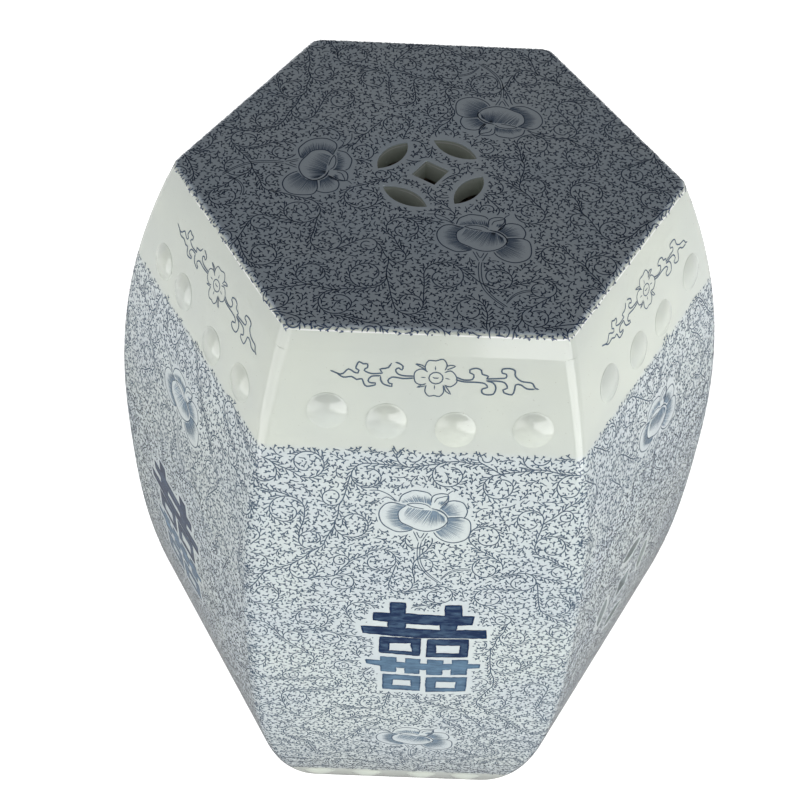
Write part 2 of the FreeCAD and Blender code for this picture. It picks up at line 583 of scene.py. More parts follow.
def make_button():
    """A dome cut off near its foot, then flared out and carried into the wall."""
    ball = (button_radius**2 + button_rise**2) / (2 * button_rise)
    bpy.ops.mesh.primitive_uv_sphere_add(
        segments=button_sides,
        ring_count=button_sides,
        radius=ball,
        location=(0, 0, button_rise - ball),
    )
    button = join_as("button", [bpy.context.object])
    bpy.ops.object.transform_apply()
    enter_edit(button)
    bpy.ops.mesh.select_all(action="SELECT")
    bpy.ops.mesh.bisect(plane_co=(0, 0, button_foot), plane_no=(0, 0, 1), clear_inner=True)
    leave_edit()
    edit_edges(button, lambda a, b: np.maximum(a[:, 2], b[:, 2]) < button_foot + hair)
    for spread, drop in button_flare:
        bpy.ops.mesh.extrude_edges_move()
        bpy.ops.transform.resize(value=(spread, spread, 1), center_override=(0, 0, 0))
        bpy.ops.transform.translate(value=(0, 0, -drop))
    bpy.ops.mesh.edge_face_add()
    leave_edit()
    bpy.ops.object.shade_smooth_by_angle(angle=button_smoothing)
    return button


def make_button_row(name, azimuth, height, places):
    row = []
    for place, above in places:
        twin = twin_of(button)
        across, along, lift = read_points(twin).T
        along = along + along_at(height + above * MM)
        write_points(twin, bend(across + place * MM, along, lift, azimuth)[0])
        row.append(twin)
    return join_as(name, row)


button = make_button()
button_rows = {}
for number, (name, azimuth) in enumerate(wall_azimuths.items()):
    upper_row = upper_button_rows[number % len(upper_button_rows)]
    for level, height, places in (
        ("upper", body_height - button_inset, upper_row),
        ("lower", button_inset, lower_button_row),
    ):
        row = make_button_row(f"glazed_buttons_{level}_{name}", azimuth, height, places)
        button_rows[f"{level}_bosses_{name}"] = row
bpy.data.objects.remove(button)
print("button rows:", len(button_rows))

# %% [markdown]
# The painting is cobalt, brushed or printed on the clay under the glaze. An
# image would be the quick way, but this script uses none, and a shader can't
# grow a vine whose stems curl, branch and keep clear of the flowers. So every
# stroke is a thin ribbon of mesh. It is drawn flat, in millimetres, and then
# bent on to the stool by the wall's own formula, a hair above the glaze.
#
# To keep strokes apart, the sheet is ruled into small squares, and each one
# remembers whether ink lies there and whether the vine may grow there. A brush
# also has a load, from nought for thin ink to one for the fullest blue.

# %% A sheet to draw on
CELL = 0.4
mark_step = 0.3
vine_load = 0.7


def part_way(a, b, share):
    """The point a share of the way from a to b."""
    return a[0] + (b[0] - a[0]) * share, a[1] + (b[1] - a[1]) * share


class Sheet:
    """A flat drawing in millimetres that knows where ink lies already."""

    def __init__(self, left, low, right, high):
        self.left, self.low, self.right, self.high = left, low, right, high
        self.columns = int((right - left) / CELL) + 1
        self.rows = int((high - low) / CELL) + 1
        self.inked = bytearray(self.columns * self.rows)
        self.open_ground = bytearray(self.columns * self.rows)
        self.strokes = []
        self.washes = []
        self.load = vine_load

    def cell(self, x, y):
        column = int((x - self.left) / CELL)
        row = int((y - self.low) / CELL)
        inside = 0 <= column < self.columns and 0 <= row < self.rows
        return row * self.columns + column if inside else -1

    def is_open(self, x, y):
        spot = self.cell(x, y)
        return spot >= 0 and self.open_ground[spot] == 1

    def mark(self, points):
        """Notes a line of ink in the ruled squares."""
        for a, b in zip(points, points[1:]):
            steps = max(1, int(math.hypot(b[0] - a[0], b[1] - a[1]) / mark_step))
            for step in range(steps + 1):
                spot = self.cell(*part_way(a, b, step / steps))
                if spot >= 0:
                    self.inked[spot] = 1

    def is_clear(self, x, y, reach):
        """True where no ink lies within a square of this reach."""
        column = int((x - self.left) / CELL)
        row = int((y - self.low) / CELL)
        if not (0 <= column < self.columns and 0 <= row < self.rows):
            return True
        span = int(reach / CELL)
        first, last = max(0, column - span), min(self.columns, column + span + 1)
        for line in range(max(0, row - span), min(self.rows, row + span + 1)):
            start = line * self.columns
            if any(self.inked[start + first : start + last]):
                return False
        return True

    def stroke(self, points, widths):
        self.strokes.append((points, widths, self.load))
        self.mark(points)

    def cells_within(self, outline, margin=0.0):
        """Squares inside a closed outline, or nearer to it than a margin."""
        spots = np.array(outline)

        def squares(axis, edge, count):
            first = int((float(spots[:, axis].min() - margin) - edge) / CELL)
            last = int((float(spots[:, axis].max() + margin) - edge) / CELL)
            return np.arange(max(0, first), min(count, last + 2))

        columns = squares(0, self.left, self.columns)
        rows = squares(1, self.low, self.rows)
        x, y = np.meshgrid(self.left + (columns + 0.5) * CELL, self.low + (rows + 0.5) * CELL)
        within = np.zeros(x.shape, bool)
        nearest = np.full(x.shape, np.inf)
        for (ax, ay), (bx, by) in zip(outline, outline[1:] + outline[:1]):
            if ay != by:
                crossing = ax + (y - ay) * (bx - ax) / (by - ay)
                within ^= ((ay > y) != (by > y)) & (x < crossing)
            if margin:
                length = (bx - ax) ** 2 + (by - ay) ** 2
                share = np.clip(((x - ax) * (bx - ax) + (y - ay) * (by - ay)) / length, 0, 1)
                gap = np.hypot(x - ax - share * (bx - ax), y - ay - share * (by - ay))
                nearest = np.minimum(nearest, gap)
        found = np.flatnonzero(within | (nearest < margin))
        row, column = np.divmod(found, len(columns))
        return (rows[row] * self.columns + columns[column]).tolist()

    def open_up(self, outline):
        """Lets the vine grow inside an outline."""
        for spot in self.cells_within(outline):
            self.open_ground[spot] = 1

    def fence(self, outline):
        """Keeps every later stroke inside an outline."""
        within = set(self.cells_within(outline))
        self.inked = bytearray(spot not in within for spot in range(len(self.inked)))

    def keep_out(self, outline, margin):
        """Keeps every later stroke off an outline's inside and its margin."""
        for spot in self.cells_within(outline, margin):
            self.open_ground[spot] = 0
            self.inked[spot] = 1


# %% [markdown]
# A brush line is a row of points with a width at each. Curved lines are drawn
# from a few points and smoothed, in the way that a painter's wrist would. A
# hatched petal is a fan of fine strokes that start close together at its root
# and stop short of its rim.

# %% Brush lines
def smooth(points, closed=False, spacing=1.2):
    """A Catmull-Rom curve through a few points."""
    if closed:
        run = [points[-1], *points, points[0], points[1]]
    else:
        run = [points[0], *points, points[-1]]
    curve = []
    for before, a, b, after in zip(run, run[1:], run[2:], run[3:]):
        steps = max(1, round(math.hypot(b[0] - a[0], b[1] - a[1]) / spacing))
        for step in range(steps):
            t = step / steps
            curve.append(
                tuple(
                    0.5 * (2 * a[k] + (b[k] - before[k]) * t)
                    + 0.5 * (2 * before[k] - 5 * a[k] + 4 * b[k] - after[k]) * t**2
                    + 0.5 * (3 * a[k] - before[k] - 3 * b[k] + after[k]) * t**3
                    for k in (0, 1)
                )
            )
    curve.append(curve[0] if closed else points[-1])
    return curve


def placed(points, centre, turn=0.0):
    """Points of a motif turned by degrees and moved to its centre."""
    cos, sin = math.cos(math.radians(turn)), math.sin(math.radians(turn))
    return [(centre[0] + x * cos - y * sin, centre[1] + x * sin + y * cos) for x, y in points]


def draw_line(sheet, points, width, closed=False):
    """A smoothed line with fine ends, or a closed one of even width."""
    curve = smooth(points, closed)
    if closed:
        widths = [width] * len(curve)
    else:
        widths = [0.5 * width] + [width] * (len(curve) - 2) + [0.0]
    sheet.stroke(curve, widths)
    return curve


def point_along(line, share):
    """The point a share of the way along a row of points, by their number."""
    place = share * (len(line) - 1)
    index = min(int(place), len(line) - 2)
    return part_way(line[index], line[index + 1], place - index)


def hatch(sheet, rng, root, rim, count, near, far, width=0.44):
    """Fine strokes from near to far of the way from a root line to a rim."""
    for number in range(count):
        share = (number + rng.uniform(0.25, 0.75)) / count
        a, b = point_along(root, share), point_along(rim, share)
        start, stop = near + rng.uniform(0, 0.04), far + rng.uniform(-0.12, 0.08)
        steps = (start, start * 0.45 + stop * 0.55, stop)
        line = [part_way(a, b, step) for step in steps]
        sheet.stroke(line, [width, width * 0.7, 0.0])


# %% [markdown]
# The flower is a full bloom seen from the side: one broad petal in the middle,
# two side lobes, a round one behind, and a folded bud. It appears on every wall
# and three times on the seat. It is drawn once, in millimetres round its own
# middle. Shading lists what is hatched: a root line, a rim line, the number of
# strokes, and how far along they start and stop.

# %% The flower
petals = {
    "broad": [
        (-10.5, 7.5), (-14, 4), (-14.5, 0), (-13, -4), (-9, -6.5), (-4.5, -9), (0, -10),
        (4.5, -9), (8.5, -6.5), (11, -2.5), (10.5, 0.5), (8, 3.5), (4, 5.5), (2, 6),
    ],
    "left": [
        (-12.5, 7.5), (-17, 9), (-21, 8), (-24, 3.5), (-24, -1.5), (-22, -6), (-18.5, -9),
        (-14.5, -11), (-10, -10.5), (-6.5, -9),
    ],
    "behind": [(-14.5, 9.5), (-13, 14), (-9.5, 16.5), (-7, 17.5), (-2.5, 17), (0.5, 16), (2, 14)],
    "bud": [
        (2, 10), (2, 13), (3.5, 15), (6.5, 16), (10, 15.5), (10.5, 13), (10, 10), (8.5, 7.5),
        (7, 6),
    ],
    "upper_right": [
        (6.5, 5.5), (9, 9.5), (12, 11.5), (15.5, 11.5), (18.5, 10), (20.5, 5.5), (20, 2), (19, 0),
    ],
    "lower_right": [
        (10.5, 0), (14, 0.5), (18.5, 0.5), (22, -1.5), (23, -6.5), (22.5, -12), (20, -15.5),
        (15, -17.5), (10, -16.5), (6, -13.5), (4, -10),
    ],
}
folds = [
    [(-10.5, 8), (-7.5, 9), (-3.5, 9), (0, 8), (2, 6)],
    [(-1.5, 5.5), (-6.5, 6.5), (-10.5, 8)],
    [(4, 5.5), (6.5, 5), (9, 3), (10.5, 0.5), (11, -2.5), (10.5, -5)],
    [(9, -1.5), (7, 2)],
    [(3.5, 10), (4.5, 12.5), (6.5, 13.5), (10, 14.5), (9.5, 11.5), (8, 9.5), (6.5, 8)],
    [(10, 15.5), (11, 17), (13, 18.5)],
    [(-6.3, -10.4), (-4.8, -14), (-3.4, -17.6)],
    [(-4.6, -10.6), (-2.6, -15), (-0.6, -10.8)],
    [(1.2, -11), (-0.4, -14.4), (-1.8, -17.8)],
    [(-29.5, 16.5), (-24.5, 16.5), (-19.5, 14), (-17, 11.5), (-15, 9.5)],
    [(-23.5, 10.5), (-21, 12.5), (-17.5, 11), (-16, 9.5)],
]
flower_stem = [(-2.5, -18), (-3, -23), (-2.5, -31), (-0.5, -37.5), (3.5, -43.5), (9.5, -49.5)]
side_stem = [(9.5, -46.5), (14, -40.5), (20, -37.5), (25.5, -38)]
shading = [
    (
        [(-9.5, 6.6), (-1.5, 5.2), (3.5, 5.2), (5, 4.8), (9, 0.8)],
        [(-13, -1), (-12.5, -4), *petals["broad"][4:9], (10, -5)],
        36, 0.03, 0.8,
    ),
    ([(-12, 9.2), (-7, 9.4), (-3.5, 9.6), (0, 8.8), (2, 7.4)], petals["behind"], 26, 0.05, 0.65),
    (
        [(-10.5, 7.8), (-14.2, 4), (-14.8, 0), (-13.3, -4.2), (-9.2, -7), (-6.5, -8.5)],
        petals["left"][1:9],
        40, 0.0, 0.7,
    ),
    ([(6.5, 6), (9, 4), (11, 1.5)], petals["upper_right"][1:7], 18, 0.0, 0.78),
    (
        [(10.8, 0), (11.2, -2.5), (10.3, -5), (7.7, -7.8), (5, -9.8)],
        petals["lower_right"][2:9],
        28, 0.0, 0.82,
    ),
    ([(5.5, 9), (7, 9), (8.5, 9.5)], [(6.5, 12), (8, 12.5), (9, 12.5)], 6, 0.0, 0.7),
]
flower_outline = [
    (-24, 4), (-20, 9.5), (-14, 12), (-10, 17.5), (-2, 18), (6, 17), (12, 17), (18, 11), (21.5, 4),
    (23.5, -6), (21, -15.5), (14, -18.5), (6, -15), (0, -11), (-3, -16), (-8, -11), (-16, -12),
    (-23, -7),
]


flower_margin = 0.4
petal_line = 0.6
fine_line = 0.5
twig_line = 0.45
stem_half = 0.7
twig_half = stem_half * 0.8


def draw_flower(sheet, rng, centre, turn=0.0):
    def at(points):
        return placed(points, centre, turn)

    sheet.keep_out(at(flower_outline), flower_margin)
    for outline in petals.values():
        draw_line(sheet, at(outline), petal_line)
    for fold in folds:
        draw_line(sheet, at(fold), fine_line)
    sheet.load = 0.0
    for root, rim, count, near, far in shading:
        hatch(sheet, rng, at(root), at(rim), count, near, far)
    sheet.load = vine_load
    for side in (-1, 1):
        stem = [(x + side * stem_half, y) for x, y in flower_stem]
        twig = [(x, y + side * twig_half) for x, y in side_stem]
        draw_line(sheet, at(stem), fine_line)
        draw_line(sheet, at(twig), twig_line)


print("flower:", len(petals), "petals and", len(folds), "folds")

# %% [markdown]
# The vine fills all the rest. On the real stool its stems run from ring to
# ring, each ring turning the other way from the last, and both sides of a stem
# carry combs of small hooked leaves. It could be traced stroke by stroke, but
# rules give the same growth with far less to write. The random numbers have a
# fixed start, so it grows the same way every time.
#
# A leaf is a short curling line, thickest near its tip, with a barb. Where the
# bare glaze is too narrow for it, a smaller one is tried.

# %% Leaves
leaf_sizes = (1.0, 0.78, 0.58, 0.42)
leaf_widths = [fine_line * 0.6, fine_line, fine_line * 1.7, fine_line * 0.8]
barb_widths = [fine_line, fine_line * 1.5, fine_line * 0.5]


def hook(x, y, heading, length, bend_by, steps=3):
    """A short line that curls as it goes."""
    points = [(x, y)]
    for _ in range(steps):
        heading += bend_by / steps
        x += math.cos(heading) * length / steps
        y += math.sin(heading) * length / steps
        points.append((x, y))
    return points


def draw_leaf(sheet, rng, x, y, heading, length, curl, reach):
    """A hooked leaf with a barb, as long as the bare glaze allows."""
    for share in leaf_sizes:
        line = hook(x, y, heading, length * share, curl)
        tip_clear = sheet.is_clear(*line[3], reach)
        if not tip_clear or (share > 0.5 and not sheet.is_clear(*line[2], reach * 0.7)):
            continue
        sheet.stroke(line, leaf_widths)
        if share > 0.7:
            side = math.copysign(1, curl)
            turn = heading + curl * 0.6 - side * rng.uniform(0.8, 1.3)
            barb = hook(*line[2], turn, length * share * rng.uniform(0.32, 0.5), -side * 0.4, 2)
            sheet.stroke(barb, barb_widths)
        return


def leaves_along(sheet, rng, line, spacing, shortest, longest, reach=0.75, both=True):
    """Leaves at even steps along a line, on both sides or by turns."""
    walked, due, side = 0.0, spacing * rng.uniform(0.3, 1.0), 1
    for a, b in zip(line, line[1:]):
        run = math.hypot(b[0] - a[0], b[1] - a[1])
        heading = math.atan2(b[1] - a[1], b[0] - a[0])
        while due < walked + run:
            for hand in (1, -1) if both else (side,):
                draw_leaf(
                    sheet,
                    rng,
                    *part_way(a, b, (due - walked) / run),
                    heading + hand * rng.uniform(0.9, 1.25),
                    rng.uniform(shortest, longest),
                    -hand * rng.uniform(0.5, 1.1),
                    reach,
                )
            side = -side
            due += spacing * rng.uniform(0.75, 1.25)
        walked += run


# %% [markdown]
# For the stems, rings are strewn where they fit, and each one in turn is joined
# to the nearest ring that already grows, by a line that touches both and curls
# round the new one. A stem stops where it meets a flower, the sign or the coin.

# %% Stems
def strew_rings(sheet, rng, smallest, largest, gap, tries=6000):
    """Rings that don't touch, the large ones first."""
    rings = []
    for number in range(tries):
        shrink = math.sqrt(number / tries)
        radius = (largest + (smallest - largest) * shrink) * rng.uniform(0.8, 1.1)
        x = rng.uniform(sheet.left, sheet.right)
        y = rng.uniform(sheet.low, sheet.high)
        if not sheet.is_open(x, y):
            continue
        if all(math.hypot(x - ox, y - oy) > radius + reach + gap for ox, oy, reach in rings):
            rings.append((x, y, radius))
    return rings


def join_nearest(rings):
    """For each ring in turn: its number, the ring it grows from, its spin."""

    def room(a, b):
        return math.dist(a[:2], b[:2]) - a[2] - b[2]

    spin = {0: 1}
    order = [(0, None, 1)]
    nearest = {other: (room(rings[0], rings[other]), 0) for other in range(1, len(rings))}
    while nearest:
        number = min(nearest, key=lambda key: nearest[key][0])
        origin = nearest.pop(number)[1]
        spin[number] = -spin[origin]
        order.append((number, origin, spin[number]))
        for other in nearest:
            gap = room(rings[number], rings[other])
            if gap < nearest[other][0]:
                nearest[other] = (gap, number)
    return order


def curl_in(radius, turned):
    """A ring's radius after so many turns: it closes up at its end."""
    if turned < 0.75:
        return radius * (1 - 0.1 * turned)
    return radius * (0.925 - 1.45 * (turned - 0.75))


def stem_points(rng, rings, number, origin, spin):
    """A line that leaves one ring, touches the next and curls round it."""
    x, y, radius = rings[number]
    points = []
    if origin is None:
        angle = rng.uniform(0, math.tau)
    else:
        old_x, old_y, old_radius = rings[origin]
        apart = math.dist((x, y), (old_x, old_y))
        towards = math.atan2(y - old_y, x - old_x)
        leaving = towards + spin * math.acos((old_radius + radius) / apart)
        angle = leaving + math.pi
        ax = old_x + old_radius * 0.95 * math.cos(leaving)
        ay = old_y + old_radius * 0.95 * math.sin(leaving)
        bx = x + radius * math.cos(angle)
        by = y + radius * math.sin(angle)
        run = math.hypot(bx - ax, by - ay)
        steps = max(2, int(run / 1.5))
        sway = rng.uniform(-0.05, 0.05) * min(run, 14)
        for step in range(steps):
            share = step / steps
            off = sway * math.sin(share * math.tau) / run
            on_x, on_y = part_way((ax, ay), (bx, by), share)
            points.append((on_x - (by - ay) * off, on_y + (bx - ax) * off))
    turns = rng.uniform(0.95, 1.2)
    squash = rng.uniform(0.85, 1.0)
    steps = int(turns * math.tau * radius / 1.3)
    for step in range(steps + 1):
        turned = turns * step / steps
        flatten = (1 - squash) * math.sin(math.pi * min(turned, 1.0)) ** 2
        reach = curl_in(radius, turned) * (1 - flatten)
        around = angle + spin * turned * math.tau
        points.append((x + reach * math.cos(around), y + reach * math.sin(around)))
    return points


def open_runs(sheet, points):
    """The parts of a line that lie on open ground."""
    runs, run = [], []
    for point in points:
        if sheet.is_open(*point):
            run.append(point)
        elif run:
            runs.append(run)
            run = []
    return [found for found in [*runs, run] if len(found) > 3]


stem_line = fine_line * 1.25


def grow_vine(sheet, rng, smallest=4.2, largest=9.5, gap=6.0):
    """Stems and their leaves on all the open ground."""
    rings = strew_rings(sheet, rng, smallest, largest, gap)
    stems = []
    for number, origin, spin in join_nearest(rings):
        stems += open_runs(sheet, stem_points(rng, rings, number, origin, spin))
    for stem in stems:
        sheet.stroke(stem, [0.0] + [stem_line] * (len(stem) - 2) + [0.0])
    for stem in stems:
        leaves_along(sheet, rng, stem, spacing=2.0, shortest=3.2, longest=5.0, reach=0.85)


# %% [markdown]
# Where glaze is still bare after the stems, a painter adds a sprig, and where
# not even that fits, a tick of the brush. Each kind of sprig has its length,
# the bare glaze that it needs, the pitch of the spots that are tried, and the
# spacing and the shortest and longest of its leaves.

# %% Sprigs in the gaps
sprigs = (
    (8.0, 1.9, 1.8, 1.5, 2.4, 3.6),
    (5.5, 1.5, 1.6, 1.35, 1.9, 2.9),
    (3.6, 1.2, 1.4, 1.2, 1.4, 2.2),
)
sprig_widths = [fine_line * 0.6, fine_line, fine_line, fine_line * 1.2, 0.0]
tick_pitch = 1.4
tick_reach = 1.2
tick_length = 2.2


def scattered_spots(sheet, rng, pitch):
    """A spot in each square of open ground, in a random order."""
    spots = []
    for row in range(int((sheet.high - sheet.low) / pitch)):
        for column in range(int((sheet.right - sheet.left) / pitch)):
            x = sheet.left + (column + rng.uniform(0, 1)) * pitch
            y = sheet.low + (row + rng.uniform(0, 1)) * pitch
            if sheet.is_open(x, y):
                spots.append((x, y))
    rng.shuffle(spots)
    return spots


def fill_gaps(sheet, rng):
    """Sprigs from large to small, then ticks, wherever glaze is bare."""
    for length, reach, pitch, spacing, shortest, longest in sprigs:
        for x, y in scattered_spots(sheet, rng, pitch):
            if not sheet.is_clear(x, y, reach):
                continue
            for _ in range(4):
                curl = rng.choice((-1, 1)) * rng.uniform(0.5, 1.6)
                twig = hook(x, y, rng.uniform(0, math.tau), length, curl, 4)
                if all(
                    sheet.is_clear(*point, reach * 0.8) and sheet.is_open(*point)
                    for point in twig[1:]
                ):
                    sheet.stroke(twig, sprig_widths)
                    leaves_along(sheet, rng, twig, spacing, shortest, longest, 0.42, both=False)
                    break
    for x, y in scattered_spots(sheet, rng, tick_pitch):
        if sheet.is_clear(x, y, tick_reach):
            heading = rng.uniform(0, math.tau)
            start = (x - math.cos(heading), y - math.sin(heading))
            draw_leaf(sheet, rng, *start, heading, tick_length, rng.uniform(-1.2, 1.2), 0.8)


# %% [markdown]
# On each plain band lies a scroll: a small rosette with leafy tendrils running
# out to both sides. They are open brush lines, a little bolder than the vine.
# The scroll near the foot is upside down.

# %% The band scroll
rosette = [
    [(-4.5, 3.5), (-5.5, 6), (-4, 9.5), (-0.5, 9.5), (3, 10.5), (5, 7.5), (4, 4.5)],
    [(-4, 3.5), (-7, 5), (-10, 3.5), (-10.5, 0.5), (-9.5, -2.5), (-6.5, -3.5), (-4.5, -2.5)],
    [(-4.5, -3.5), (-5, -7), (-3, -9.5), (-0.5, -9), (2, -9.5), (4, -7), (3.5, -3)],
    [(4, 3.5), (7, 4.5), (9.5, 2), (10, -1.5), (7, -4), (4, -3)],
    [(-5.5, 5), (-10, 7.5), (-7, 7), (-5.5, 6)],
    [(5, 5), (9, 7), (6.5, 7.5), (4.5, 6.5)],
    [(-5, -4), (-9, -5), (-6.5, -3.5)],
    [(4, -3.5), (5, -6.5), (7.5, -8), (6, -5.5), (4.5, -3.5)],
    [(-0.5, 4.5), (-0.5, 7)],
    [(-5, 0.5), (-7.5, 0.5)],
    [(-0.5, -3.5), (-0.5, -6)],
    [(4.5, 0.5), (7, 0)],
    [(-1.6, 0.9), (-0.8, 0.4), (0.8, 0.4), (1.6, 0.8)],
]
tendrils = [
    [(-10.5, 1), (-15.5, 1), (-18.5, 2), (-19.5, 4), (-18, 5), (-16.5, 4), (-16, 6), (-18, 7.5),
     (-20, 8)],
    [(-21.5, 7.5), (-23, 5), (-24.5, 4.5), (-27, 4), (-25.5, 2)],
    [(-25.5, 2), (-31, 1.5), (-34.5, 3), (-34, 4), (-33, 4.5), (-33, 6.5), (-35, 6.5), (-37, 7.5),
     (-38, 6), (-38.5, 4), (-37, 3), (-37.5, 1.5), (-39.5, 2), (-42, 3.5), (-44.5, 1), (-46, 0.5),
     (-51, 2.5)],
    [(-10.5, 0), (-15.5, -0.5), (-21, 0), (-23, -2), (-22, -3.5), (-21, -3.5), (-21, -5),
     (-23.5, -4.5), (-25.5, -3.5), (-26.5, -1.5), (-26.5, 0.5)],
    [(-26.5, 0.5), (-31, 0), (-32.5, -2.5), (-31, -3.5), (-29, -3.5), (-29, -4.5), (-33, -5.5),
     (-34.5, -4), (-35.5, -1.5), (-38, -2), (-40.5, -0.5), (-44.5, -1), (-48, 1.5)],
    [(9.5, 1.5), (13.5, 0), (17.5, 0.5), (18, 3), (16, 4), (16, 5.5), (19, 6.5), (21.5, 5.5),
     (22, 3.5), (25, 2.5), (24, 1)],
    [(24, 1), (30, 1.5), (33.5, 2), (33.5, 4), (31.5, 4.5), (31.5, 6.5), (35, 7), (37.5, 6),
     (38, 3), (41, 0.5), (44.5, 0), (46.5, -0.5), (48, -3), (50, -3.5)],
    [(9.5, 0), (13.5, -1), (19.5, -1), (23.5, -1.5), (25, -3.5), (22.5, -4.5), (22.5, -6.5),
     (24.5, -7.5), (28, -7), (29, -3.5), (27.5, -1), (24, 0)],
    [(24, 0), (30.5, 0), (33.5, -1), (34.5, -3.5), (32.5, -4.5), (33, -6), (37, -7), (38, -4.5),
     (38.5, -1.5), (41, -1.5), (44, -3.5), (48, -3.5)],
]


eye_width, eye_height, eye_middle = 3.4, 3.1, 0.4
eye_angles = np.linspace(0, math.tau, 13)[:-1]
rosette_line = 0.6
tendril_line = 0.8


def draw_scroll(sheet, centre, flip=1):
    def at(points):
        return placed([(x, y * flip) for x, y in points], centre)

    eye = [(eye_width * math.cos(a), eye_middle + eye_height * math.sin(a)) for a in eye_angles]
    draw_line(sheet, at(eye), rosette_line, closed=True)
    for line in rosette:
        draw_line(sheet, at(line), rosette_line)
    for line in tendrils:
        draw_line(sheet, at(line), tendril_line)


print("scroll:", len(rosette) + len(tendrils), "lines")

# %% [markdown]
# Four walls carry the old sign for double happiness, which potters have put on
# wedding porcelain for centuries. It is painted free-hand in strong cobalt: an
# outline first, then a wet wash inside it, and the lower half with a drier
# brush. A margin of bare glaze is left all round it.

# %% The sign
sign_figures = [
    {
        "edge": [
            (-19, 39), (-11, 39), (-11, 29.5), (-4, 29), (11, 28.5), (10.5, 38), (19, 38.5),
            (20, 29), (26.5, 29), (26, 21.5), (18, 20.5), (17.5, 15.5), (34, 16.5), (34.5, 9),
            (-3.5, 7), (-19, 8.5), (-33.5, 10), (-34.5, 16.5), (-20, 16), (-20, 21.5),
            (-28, 22.5), (-28, 29.5), (-19, 29),
        ],
        "hole": [(-10.5, 20.5), (8.5, 20), (9, 15), (-10.5, 15.5)],
        "load": 0.88,
    },
    {
        "edge": [(-24, 6.5), (-1.5, 6), (-1.5, -11), (-24, -9)],
        "hole": [(-19, 1), (-6.5, 1.5), (-5.5, -7.5), (-19, -7)],
        "load": 0.85,
    },
    {
        "edge": [(2.5, 5.5), (25, 7), (25.5, -10.5), (2.5, -12)],
        "hole": [(7, 0.5), (21, 1), (21, -7.5), (7.5, -8)],
        "load": 0.85,
    },
    {
        "edge": [
            (-31.5, -17), (-23, -17.5), (-23, -13.5), (-14.5, -14), (-14.5, -18.5), (-9, -19),
            (-9, -14.5), (-1, -15), (-1, -19.5), (3.5, -19.5), (3.5, -15), (12, -15.5), (12, -19),
            (17.5, -18.5), (17.5, -14.5), (26, -14), (26, -18), (33, -18), (33, -21.5), (26, -22.5),
            (26, -29), (17.5, -30), (17.5, -24), (12, -25), (12, -30.5), (3.5, -30.5), (3.5, -25.5),
            (-1, -25.5), (-1, -30), (-9, -30), (-9, -24.5), (-14.5, -24), (-14.5, -29),
            (-22.5, -28.5), (-23, -23), (-31, -20.5),
        ],
        "hole": [],
        "load": 0.3,
    },
    {
        "edge": [(-21.5, -32), (0, -33), (0, -49), (-21, -48)],
        "hole": [(-16, -37), (-5, -37.5), (-4.5, -44.5), (-16, -44)],
        "load": 0.38,
    },
    {
        "edge": [(3.5, -34), (26.5, -32.5), (26.5, -47.5), (4, -50)],
        "hole": [(9, -38), (21, -37.5), (21, -45), (9, -45.5)],
        "load": 0.38,
    },
]
sign_margin = 2.6
sign_line = (0.7, 1.2)
edge_load = 0.25


def free_hand(rng, outline, tremble=0.16, spacing=1.8):
    """A closed outline drawn with a slightly unsteady hand."""
    drawn = []
    for a, b in zip(outline, outline[1:] + outline[:1]):
        steps = max(1, round(math.dist(a, b) / spacing))
        for step in range(steps):
            x, y = part_way(a, b, step / steps)
            shake_x, shake_y = rng.uniform(-tremble, tremble), rng.uniform(-tremble, tremble)
            drawn.append((x + shake_x, y + shake_y))
    return drawn


def draw_sign(sheet, rng, centre):
    for figure in sign_figures:
        loops = [free_hand(rng, placed(figure["edge"], centre))]
        if figure["hole"]:
            loops.append(free_hand(rng, placed(figure["hole"], centre)))
        sheet.washes.append((loops, figure["load"]))
        for loop in loops:
            sheet.load = figure["load"] + edge_load
            widths = [rng.uniform(*sign_line) for _ in loop]
            sheet.stroke([*loop, loop[0]], [*widths, widths[0]])


# %% [markdown]
# A finished drawing becomes one mesh. Each stroke is a strip of faces, a width
# of nothing closes it to a point, and each wash is a filled outline that is cut
# into narrow strips so that it can bend. The amount of cobalt in the brush is
# kept on the points for the material to read. The flat drawing also gives the
# mesh its UV map, named OFBake.

# %% From drawing to mesh
ink_lift = 0.07
wash_lift = 0.045
wash_strip = 3.0
tiny = 1e-9


def strip_mesh(sheet):
    """Corners, faces and ink loads of every stroke on a sheet."""
    corners, faces, loads = [], [], []
    for points, widths, load in sheet.strokes:
        last = len(points) - 1
        old = None
        for step, (x, y) in enumerate(points):
            ax, ay = points[max(0, step - 1)]
            bx, by = points[min(last, step + 1)]
            run = math.hypot(bx - ax, by - ay) or tiny
            side_x = -(by - ay) / run * widths[step] / 2
            side_y = (bx - ax) / run * widths[step] / 2
            at = len(corners)
            if widths[step] > 0:
                corners += [(x - side_x, y - side_y, ink_lift), (x + side_x, y + side_y, ink_lift)]
                new = (at, at + 1)
            else:
                corners.append((x, y, ink_lift))
                new = (at,)
            loads += [load] * len(new)
            if old:
                face = [old[0], *new, *old[:0:-1]]
                if len(face) > 2:
                    faces.append(face)
            old = new
    return corners, faces, loads


def add_flat_mesh(name, corners, faces, loads):
    mesh = bpy.data.meshes.new(name)
    mesh.from_pydata(corners, [], faces)
    attribute = mesh.attributes.new("ink_load", "FLOAT", "POINT")
    attribute.data.foreach_set("value", loads)
    flat = bpy.data.objects.new(name, mesh)
    bpy.context.scene.collection.objects.link(flat)
    return flat


